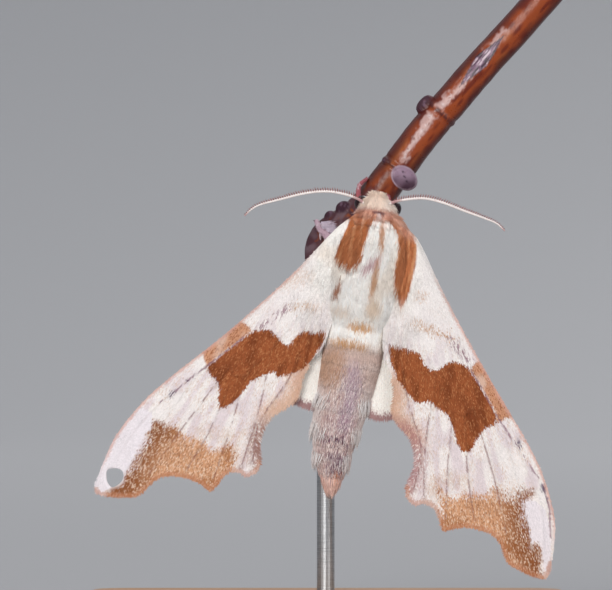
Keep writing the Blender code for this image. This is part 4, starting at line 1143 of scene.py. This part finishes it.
def build_eyes():
    """Domed dark compound eyes, as large and as deep in the head as the solids have them."""
    for side, word in ((-1, "left"), (1, "right")):
        u, v, h = EYE_PLACE
        rings, sides = 48, 64
        tilt = np.linspace(0.02, math.pi - 0.02, rings)
        turn = np.arange(sides) * 2 * math.pi / sides
        ball = np.stack((
            np.outer(np.sin(tilt), np.cos(turn)), np.outer(-np.cos(tilt), np.ones(sides)),
            np.outer(np.sin(tilt), np.sin(turn)),
        ), axis=-1).reshape(-1, 3)
        ball = np.concatenate((ball, [[0, -1, 0], [0, 1, 0]])) * EYE_RADIUS + (EYE_MIDDLE + side * u, v, h)
        faces = closed_tube_faces(rings, sides)
        eye = moth_piece(f"eye_{word}_dome", ball, faces, eye_material(), tints("#2b181d", len(ball)))
        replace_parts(eye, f"eye_{word}")


def build_palps():
    """Blunt hairy palps under the brow."""
    rng = np.random.default_rng(SEED + 3)
    for side, word in ((-1, "left"), (1, "right")):
        path = spline(PALP_ROUTE, 30) * (side, 1, 1)
        radii = spline([(r,) for r in PALP_RADII], 30)[:, 0]
        points, faces, _, _ = swept(path, radii, 20)
        core = moth_piece(f"palp_{word}_core", points, faces, skin_material(),
                          tints("#c9a08f", len(points)))
        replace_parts(core, f"palp_{word}")
        hair_on(f"palp_{word}_hair", path, radii, rng, PALP_HAIRS, 0.28, 0.055, 0.16, "#e0bca8",
                fur_material())


def to_bark(path):
    """Cut a leg's path, in the moth's frame, where it comes to the bark."""
    world = moth_points(path[:, 0], path[:, 1], path[:, 2]) / MM
    axis, radii = twig_axis(200)
    gap = np.linalg.norm(world[:, None] - axis[None], axis=2) - radii[None]
    met = np.nonzero(gap.min(axis=1) < 0.12)[0]
    return path[:met[0] + 1] if len(met) else path


def shin_patch(rng, count):
    """Broad pale scales that stand off the left middle leg's shin, towards the wing."""
    v = rng.uniform(*PATCH_V, count)
    down = v - PATCH_V[0]
    roots = np.stack((PATCH_U + 0.4 * down + rng.normal(0, 0.15, count), v, np.full(count, PATCH_H)), axis=1)
    out = np.tile([0.0, 0.0, 1.0], (count, 1))
    lie = unit(np.array([1.0, -0.1, 0.08]) + rng.normal(0, 0.12, (count, 3)))
    points = strand_points(roots, out, lie, rng.uniform(0.5, 1.2, count), 0.12, 0.05)
    home = np.stack((rng.uniform(0.1, 0.9, count), down * 0.8 + 0.1), axis=1)
    tint = tints("#d3c4d6", count) * rng.normal(1, 0.06, count)[:, None]
    return coat_piece("leg_middle_left_patch", points, out, lie, home, tint, leg_material())


def build_legs():
    """Scaled legs with a thigh, a shin, five foot joints and two claws that hold the bark."""
    rng = np.random.default_rng(SEED + 4)
    for word, route in LEG_ROUTES.items():
        path = to_bark(spline(route, 260))
        count = len(path)
        share = np.linspace(0, 1, count)
        slim = word.startswith("front")
        radii = np.interp(share, LEG_PLACES, FRONT_LEG_RADII if slim else LEG_RADII)
        waist = sum(np.exp(-((share - joint) / 0.016) ** 2) for joint in MAIN_JOINTS)
        foot = sum(np.exp(-((share - joint) / 0.01) ** 2) for joint in FOOT_JOINTS)
        thigh = 1 + 0.12 * np.sin(math.pi * np.clip(share * 2.8, 0, 1))
        radii = radii * thigh * (1 - 0.24 * waist - 0.25 * foot)
        code = "#a2505a" if slim else "#c2a3b2"
        points, faces, _, ahead = swept(path, radii, 20)
        leg = moth_piece(f"leg_{word}_core", points, faces, leg_material(), tints(code, len(points)))
        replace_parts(leg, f"leg_{word}")
        hair_on(f"leg_{word}_scales", path, radii, rng, LEG_SCALES, 0.26, 0.08, 0.1, code,
                leg_material())
        claws = []
        for bend in (-1, 1):
            hook = unit(np.cross(ahead[-1], [0, 1.0, 0])) * bend
            line = path[-1] + np.array([ahead[-1] * t * 0.2 + hook * 0.3 * math.sin(2.2 * t)
                                        for t in np.linspace(-0.3, 1, 9)])
            claws.append(swept(line, np.linspace(0.07, 0.015, 9), 8)[:2])
        total = len(claws[0][0])
        points = np.concatenate([claw[0] for claw in claws])
        faces = [np.concatenate((one, two + total)) for one, two in zip(claws[0][1], claws[1][1])]
        moth_piece(f"leg_{word}_claws", points, faces, claw_material(), tints("#3d2018", len(points)))
    shin_patch(rng, PATCH_SCALES)
    for index, route in enumerate(SPUR_ROUTES):
        points, faces, _, _ = swept(spline(route, 24), np.linspace(0.2, 0.05, 24), 12)
        moth_piece(f"leg_middle_left_spur_{index}", points, faces, leg_material(),
                   tints("#dccad3", len(points)))


def knot_reach(base, way, knot):
    """How far along each way from the twig's axis a knot's skin lies, 0 where it misses."""
    x, z, forward, *halves = knot
    lean, halves = TWIG_LEAN, np.array(halves)

    def turned(vectors):
        across = vectors[:, 0] * math.cos(lean) - vectors[:, 2] * math.sin(lean)
        along = vectors[:, 0] * math.sin(lean) + vectors[:, 2] * math.cos(lean)
        return np.stack((across, vectors[:, 1], along), axis=1) / halves

    start, step = turned(base - (x, TWIG_Y - forward, z)), turned(way)
    across, square = (start * step).sum(axis=1), (step ** 2).sum(axis=1)
    room = across ** 2 - square * ((start ** 2).sum(axis=1) - 1)
    return np.where(room > 0, (np.sqrt(np.maximum(room, 0)) - across) / square, 0)


def oval_share(points, oval, lean):
    """Each point's place in an oval seen from the front: 0 in its middle, 1 on its rim."""
    x, z, half_width, half_length = oval
    across = (points[:, 0] - x) * math.cos(lean) - (points[:, 2] - z) * math.sin(lean)
    along = (points[:, 0] - x) * math.sin(lean) + (points[:, 2] - z) * math.cos(lean)
    return across / half_width, along / half_length


def bark_tint(points, side, low, knot, ring):
    """Orange-brown skin, painted shade in dark red at its sides, a weathered streak with a painted highlight,
    scars, knots and lower grey bark.
    """
    x, z = points[:, 0], points[:, 2]
    count = len(points)
    across = x * math.cos(TWIG_LEAN) - z * math.sin(TWIG_LEAN)
    along = x * math.sin(TWIG_LEAN) + z * math.cos(TWIG_LEAN)
    long = cloud(across + 0.4 * points[:, 1], along * 0.3, 0.35, 20)
    fine = cloud(across * 2 + points[:, 1], along, 0.3, 21)
    wide = cloud(across, along * 0.5, 1.1, 22)
    tint = laid_over(tints("#a34a20", count), "#782a14", ease(0.35, 0.8, long))
    tint = laid_over(tint, "#bf6a33", 0.6 * ease(0.5, 0.85, wide))
    # Dark red towards the twig's sides, as seen from the front, is painted shade
    tint = laid_over(tint, "#521512", 0.9 * ease(0.4, 0.9, side + 0.3 * (wide - 0.5)))
    front = points[:, 1] < TWIG_Y
    # The pale streak on the front is weathering, and its whitest core is a painted highlight
    gap = distance_to_line(points[:, (0, 2)], BARK_STREAK_AND_HIGHLIGHT) + 0.5 * (fine - 0.5) + 0.5 * (wide - 0.5)
    tint = laid_over(tint, "#dcb6b0", 0.85 * front * ease(0.55, 0.1, gap) * ease(0.15, 0.5, long))
    tint = laid_over(tint, "#f0dcdc", 0.7 * front * ease(0.3, 0.0, gap) * ease(0.5, 0.8, fine))
    # The lower bark's dark purple is partly its own colour and partly painted shade
    tint = laid_over(tint, "#5b3440", 0.9 * low * ease(0.0, 0.35, fine))
    tint = laid_over(tint, "#a28a94", 0.45 * low * ease(0.55, 0.85, long))
    tint = laid_over(tint, "#4a2227", 0.75 * ring * ease(0.2, 0.6, fine))
    tint = laid_over(tint, "#4a2c3c", 0.9 * knot)
    tint = laid_over(tint, "#8d6f84", 0.6 * knot * ease(0.5, 0.85, fine))
    over, down = oval_share(points, BARK_SCAR, BARK_SCAR_LEAN)
    diamond = np.abs(over) + np.abs(down)
    lines = cloud(across * 5 + points[:, 1], along * 0.6, 0.4, 23)
    cover = 0.95 * front * ease(1.1, 0.9, diamond + 0.25 * (lines - 0.5))
    tint = laid_over(tint, "#7d5c78", cover)
    # The pale pink flecks in the split scar are painted highlights
    tint = laid_over(tint, "#e3cbd8", 0.9 * cover * ease(0.55, 0.75, lines))
    tint = laid_over(tint, "#33202f", 0.9 * cover * ease(0.42, 0.28, lines))
    rim = ease(0.12, 0.04, np.abs(diamond - 1)) * ease(0.3, 0.5, fine)
    tint = laid_over(tint, "#2f1c28", 0.8 * front * rim)
    over, down = oval_share(points, LEAF_SCAR, TWIG_LEAN)
    scar = np.hypot(over, down)
    shade = ease(-0.6, 0.7, over - down)
    tint = laid_over(tint, "#b294ac", 0.95 * front * ease(1.04, 0.98, scar))
    tint = laid_over(tint, "#4a2b40", 0.95 * front * ease(1.04, 0.98, scar) * shade * ease(0.1, 0.6, wide))
    tint = laid_over(tint, "#c9b0c0", 0.8 * front * ease(0.1, 0.03, np.abs(scar - 0.98)))
    for place_over, place_down in ((-0.35, 0.35), (-0.05, 0.1), (0.3, -0.1)):
        dot = np.hypot(over - place_over, down - place_down)
        tint = laid_over(tint, "#3a2238", 0.85 * front * ease(0.14, 0.05, dot))
    # The bark's colour is dimmed a little overall; below z 49, towards the head, it is darker still as
    # painted shade
    return tint * (0.8 - 0.14 * ease(49, 45, z))[:, None]


def build_twig():
    """Smooth young bark with a leaf scar, a split scar, ring scars and knots, sawn off at both ends."""
    rings, sides = 480, 96
    path, radii = twig_axis(rings)
    _, _, out, ahead = swept(path, radii, sides)
    base, way = np.repeat(path, sides, axis=0), out.reshape(-1, 3)
    smooth = np.repeat(radii, sides)
    reach = smooth
    ring = np.zeros(len(base))
    for x, z in RING_SCARS:
        gap = np.abs(((base - (x, TWIG_Y, z)) * np.repeat(ahead, sides, axis=0)).sum(axis=1))
        near = np.linalg.norm(base - (x, TWIG_Y, z), axis=1) < 1.5
        reach = reach + near * (0.07 * np.exp(-(gap / 0.2) ** 2) - 0.05 * np.exp(-((gap - 0.45) / 0.2) ** 2))
        ring = np.maximum(ring, near * ease(0.35, 0.12, gap))
    bare = reach
    for knot in TWIG_KNOTS:
        excess = knot_reach(base, way, knot) - reach
        reach = reach + np.logaddexp(0, excess * 16) / 16 * (excess > -0.6)
    points = base + way * reach[:, None]
    front = ease(0.2, 0.8, -way[:, 1])
    over, down = oval_share(points, LEAF_SCAR, TWIG_LEAN)
    scar = front * ease(1.05, 0.8, np.hypot(over, down))
    over, down = oval_share(points, BARK_SCAR, BARK_SCAR_LEAN)
    split = front * ease(1.0, 0.8, np.abs(over) + np.abs(down))
    points = points - way * (0.12 * scar + 0.07 * split)[:, None]
    rough = cloud(np.repeat(np.arange(rings) * 0.07, sides), np.tile(np.arange(sides) * 0.1, rings), 0.5, 23)
    points = points + way * (0.05 * (rough - 0.5))[:, None]
    # The lower bark, from z 44 down: greyer, duller, and partly darkened as painted shade
    low = ease(44.0, 41.0, base[:, 2])
    # How far the bark turns sideways, which sets its painted shade
    side = np.abs(way[:, 0] * math.cos(TWIG_LEAN) - way[:, 2] * math.sin(TWIG_LEAN))
    tint = bark_tint(points, side, low, ease(0.06, 0.25, reach - bare), ring)
    caps, cap_faces = [], []
    turn = np.arange(sides)
    after = (turn + 1) % sides
    for index, end in ((0, -1), (rings - 1, 1)):
        start = len(points) + sum(len(part) for part in caps)
        rim = points[index * sides:(index + 1) * sides]
        middle = rim.mean(axis=0)
        for share, dip in ((0.94, 0.0), (0.6, 0.05), (0.3, 0.05)):
            caps.append(middle + (rim - middle) * share - ahead[index] * end * dip)
        caps.append(middle[None] - ahead[index] * end * 0.1)
        starts = (index * sides, start, start + sides, start + 2 * sides)
        quads = [np.stack((one + turn, one + after, two + after, two + turn), axis=1)
                 for one, two in zip(starts, starts[1:])]
        fan = np.stack((starts[3] + turn, starts[3] + after, np.full(sides, start + 3 * sides)), axis=1)
        cap_faces += [face[:, ::end] for face in quads + [fan]]
    cap_count = sum(len(part) for part in caps)
    marks = {"tint": np.concatenate((tint, tints("#d9bd92", cap_count))),
             "rough": np.concatenate((low + ease(0.06, 0.25, reach - bare), np.ones(cap_count)))}
    wall = closed_tube_faces(rings, sides)[0][:, ::-1]
    twig = build_mesh("twig_bark", np.concatenate([points] + caps) * MM, [wall] + cap_faces,
                      bark_material(), marks)
    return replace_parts(twig, "twig")


def plug(tree, made, inputs):
    """Sets a node's inputs, or links those that are given as another node's output."""
    for label, value in inputs.items():
        if isinstance(value, bpy.types.NodeSocket):
            tree.links.new(value, made.inputs[label])
        else:
            made.inputs[label].default_value = value


def node(tree, kind, inputs, out=0, **settings):
    """Adds a shader node with its settings, and its inputs set or linked. Gives the output asked for."""
    made = tree.nodes.new("ShaderNode" + kind)
    for label, value in settings.items():
        setattr(made, label, value)
    plug(tree, made, inputs)
    return made.outputs[out]


def new_material(name):
    """A material with a Principled shader, its node tree, and the mesh's own tint."""
    made = bpy.data.materials.new(name)
    made.use_nodes = True
    tint = node(made.node_tree, "Attribute", {}, "Color", attribute_name="tint")
    return made, made.node_tree, tint


def finished(made, inputs):
    """The material, with its Principled shader's inputs set or linked."""
    plug(made.node_tree, made.node_tree.nodes["Principled BSDF"], inputs)
    return made


def patches(tree, size, detail=3.0, stretch=(1, 1, 1)):
    """Noise whose patches are about size mm across; stretch scales its x, y and z."""
    place = node(tree, "TexCoord", {}, "Object")
    place = node(tree, "Mapping", {"Vector": place, "Scale": stretch})
    return node(tree, "TexNoise", {"Vector": place, "Scale": 1 / (size * MM), "Detail": detail})


def painted(tree, under, code, source, low, high, strength=1.0):
    """A colour laid over another where source passes from low to high."""
    cover = node(tree, "MapRange", {0: source, 1: low, 2: high, 4: strength}, interpolation_type="SMOOTHSTEP")
    return node(tree, "Mix", {0: cover, 6: under, 7: colour(code)}, 2, data_type="RGBA")


@lru_cache(None)
def skin_material():
    """Cuticle under the hair: dull, and darker than the coat, with darker patches, as painted shade so
    partings read as depth.
    """
    made, tree, tint = new_material("moth_cuticle")
    tint = painted(tree, tint, "#7c5a4c", patches(tree, 0.35), 0.55, 0.75, 0.3)
    creases = {"Height": patches(tree, 0.12, 2.0, (1, 1, 0.25)), "Distance": 0.06 * MM}
    return finished(made, {"Base Color": tint, "Roughness": 0.85, "Normal": node(tree, "Bump", creases)})


@lru_cache(None)
def fur_material():
    """Dry moth hair: each strand a solid colour with a soft silky sheen."""
    made, _, tint = new_material("moth_hair")
    return finished(made, {
        "Base Color": tint, "Roughness": 0.6, "Sheen Weight": 0.1, "Sheen Roughness": 0.4,
        "Specular IOR Level": 0.25,
    })


@lru_cache(None)
def wing_material(name):
    """Overlapping wing scales: matt and powdery, each a shade of its own."""
    made, tree, tint = new_material(name)
    dust = patches(tree, 0.14, 2.0)
    return finished(made, {
        "Base Color": painted(tree, tint, "#9c7a68", dust, 0.6, 0.8, 0.2),
        "Roughness": 0.75, "Specular IOR Level": 0.2,
        "Normal": node(tree, "Bump", {"Height": dust, "Distance": 0.04 * MM}),
    })


@lru_cache(None)
def feeler_material():
    """Feeler scales: satin, white on the shaft and rosy brown on the comb."""
    made, tree, tint = new_material("feeler_scales")
    tint = painted(tree, tint, "#c99c94", patches(tree, 0.2), 0.56, 0.72, 0.4)
    return finished(made, {"Base Color": tint, "Roughness": 0.55})


@lru_cache(None)
def eye_material():
    """Compound eye: dark brown chitin with a smooth glossy lens skin, dimpled by a fine facet grid.

    The facets are about 0.07 mm wide, coarser than real ones, so that they show.
    """
    made, tree, tint = new_material("compound_eye")
    place = node(tree, "TexCoord", {}, "Object")
    facets = node(tree, "TexVoronoi", {"Vector": place, "Scale": 1 / (0.07 * MM), "Randomness": 0.25})
    return finished(made, {
        "Base Color": painted(tree, tint, "#2c1618", patches(tree, 0.9), 0.45, 0.7, 0.8),
        "Roughness": 0.2, "Specular IOR Level": 0.35,
        "Normal": node(tree, "Bump", {"Height": facets, "Distance": -0.012 * MM}),
    })


@lru_cache(None)
def leg_material():
    """Leg scales: matt and rosy lavender, paler where they are rubbed."""
    made, tree, tint = new_material("leg_scales")
    tint = painted(tree, tint, "#e3d3da", patches(tree, 0.5), 0.55, 0.72, 0.5)
    tint = painted(tree, tint, "#6d4652", patches(tree, 0.35, 2.0), 0.5, 0.3, 0.4)
    rows = {"Height": patches(tree, 0.15, 2.0), "Distance": 0.04 * MM}
    return finished(made, {
        "Base Color": tint, "Roughness": 0.66, "Sheen Weight": 0.2, "Normal": node(tree, "Bump", rows),
    })


@lru_cache(None)
def claw_material():
    """Claws: smooth dark horn."""
    made, tree, tint = new_material("horn_claw")
    tint = painted(tree, tint, "#5d3624", patches(tree, 0.2), 0.4, 0.7)
    return finished(made, {"Base Color": tint, "Roughness": 0.3})


@lru_cache(None)
def bark_material():
    """Young bark: thin glossy skin with fine long wrinkles, duller on its scars and its lower end."""
    made, tree, tint = new_material("young_bark")
    fine = patches(tree, 0.3, 4.0)
    dull = node(tree, "Attribute", {}, "Fac", attribute_name="rough")
    rough = node(tree, "Math", {0: fine, 1: 0.3, 2: 0.17}, operation="MULTIPLY_ADD")
    wrinkles = {"Height": patches(tree, 0.8, 5.0, (1, 1, 0.4)), "Distance": 0.1 * MM}
    return finished(made, {
        "Base Color": painted(tree, tint, "#5a2418", fine, 0.58, 0.75, 0.35),
        "Roughness": node(tree, "Math", {0: dull, 1: 0.3, 2: rough}, operation="MULTIPLY_ADD"),
        "Specular IOR Level": 0.35, "Normal": node(tree, "Bump", wrinkles),
    })


def wood_material():
    """Oiled beech: fine straight grain with short darker flecks."""
    made, tree, _ = new_material("oiled_beech")
    grain = patches(tree, 1.6, 6.0, (0.12, 1, 1))
    flecks = patches(tree, 0.5, 2.0, (0.18, 1, 1))
    tint = painted(tree, colour("#b98d63"), "#94683f", grain, 0.2, 0.85, 0.7)
    return finished(made, {
        "Base Color": painted(tree, tint, "#6d4728", flecks, 0.62, 0.76, 0.4),
        "Roughness": node(tree, "Math", {0: grain, 1: 0.25, 2: 0.32}, operation="MULTIPLY_ADD"),
        "Normal": node(tree, "Bump", {"Height": flecks, "Distance": 0.03 * MM}),
    })


def steel_material():
    """Satin steel: brushed round the rod, so its highlight is drawn out."""
    made, tree, _ = new_material("brushed_steel")
    brush = patches(tree, 0.3, 3.0, (0.2, 0.2, 6))
    return finished(made, {
        "Base Color": painted(tree, colour("#b9bbbd"), "#9fa2a5", brush, 0.4, 0.65), "Metallic": 1.0,
        "Roughness": node(tree, "Math", {0: brush, 1: 0.25, 2: 0.22}, operation="MULTIPLY_ADD"),
        "Normal": node(tree, "Bump", {"Height": brush, "Distance": 0.01 * MM}),
    })


def floor_material():
    """Seamless matt card under and round the model."""
    made = bpy.data.materials.new("matt_card")
    made.use_nodes = True
    return finished(made, {"Base Color": colour("#a3a5a9"), "Roughness": 0.95})


# The card floor's flat part and the sweep at its rim
FLOOR_RADIUS = 800.0
SWEEP_RADIUS = 1000.0


def build_stage():
    """A round pale card floor that sweeps up at its far rim, with no edge in any view."""
    bend = np.linspace(0, math.pi / 2, 33)
    reach = np.concatenate(([20.0, 200.0, 500.0], FLOOR_RADIUS + SWEEP_RADIUS * np.sin(bend)))
    rise = np.concatenate(([0.0, 0.0, 0.0], SWEEP_RADIUS * (1 - np.cos(bend))))
    sides = 128
    turn = np.arange(sides) * 2 * math.pi / sides
    points = np.stack((
        np.outer(reach, np.cos(turn)), np.outer(reach, np.sin(turn)), np.outer(rise, np.ones(sides)),
    ), axis=-1).reshape(-1, 3)
    points = np.concatenate((points, [[0.0, 0.0, 0.0]])) * MM
    rings = len(reach)
    wall = closed_tube_faces(rings, sides)[0]
    fan = np.stack((np.arange(sides), (np.arange(sides) + 1) % sides, np.full(sides, rings * sides)), axis=1)
    mesh = bpy.data.meshes.new("floor")
    mesh.from_pydata(points.tolist(), [], wall.tolist() + fan.tolist())
    mesh.shade_smooth()
    mesh.materials.append(floor_material())
    placed("floor", mesh)


def aim(thing, place, target):
    """Put a lamp or camera at a place and turn it to a target, both in millimetres."""
    thing.location = Vector(place) * MM
    thing.rotation_euler = (Vector(target) * MM - thing.location).to_track_quat("-Z", "Y").to_euler()


# Lamps: name, place, the side of the square and power; all are turned to the middle of the model
LAMPS = (
    ("key", (-420.0, -1250.0, 330.0), 800.0, 15.8),
    ("fill", (900.0, -900.0, 300.0), 700.0, 5.0),
    ("rim", (400.0, 950.0, 800.0), 500.0, 6.0),
)
LAMP_TARGET = (0.0, -2.0, 32.0)
WORLD_STRENGTH = 0.6


def build_lights():
    """A large soft key from the front left, a weaker fill from the front right and a rim high behind."""
    for name, place, size, power in LAMPS:
        lamp = bpy.data.lights.new(name, "AREA")
        lamp.size = size * MM
        lamp.energy = power
        lamp.color = colour("#fffcf8")[:3]
        aim(placed(name, lamp), place, LAMP_TARGET)
    world = bpy.data.worlds.new("studio")
    world.use_nodes = True
    world.node_tree.nodes["Background"].inputs["Color"].default_value = colour("#eeeff4")
    world.node_tree.nodes["Background"].inputs["Strength"].default_value = WORLD_STRENGTH
    bpy.context.scene.world = world
    bpy.context.scene.view_settings.view_transform = "Standard"


def build_camera():
    """A long lens straight at the moth's back, framed as the photograph is."""
    lens = bpy.data.cameras.new("camera")
    lens.sensor_width = SENSOR
    lens.lens = SENSOR * CAMERA_AWAY / (FRAME_WIDE * PIXEL)
    lens.clip_start = 0.01
    camera = placed("camera", lens)
    aim(camera, (VIEW_X, MOTH_PLANE_Y - CAMERA_AWAY, VIEW_Z), (VIEW_X, MOTH_PLANE_Y, VIEW_Z))
    bpy.context.scene.camera = camera


def dress_node(name, material):
    """Give a solid of the stand its material; its form stays as it is."""
    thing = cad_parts[name]
    thing.data.materials.clear()
    thing.data.materials.append(material)


def main():
    build_stage()
    build_lights()
    build_camera()
    build_body_skin()
    build_body_coat()
    build_wings()
    build_antennae()
    build_eyes()
    build_palps()
    build_legs()
    build_twig()
    dress_node("stand_base", wood_material())
    dress_node("stand_rod", steel_material())


main()
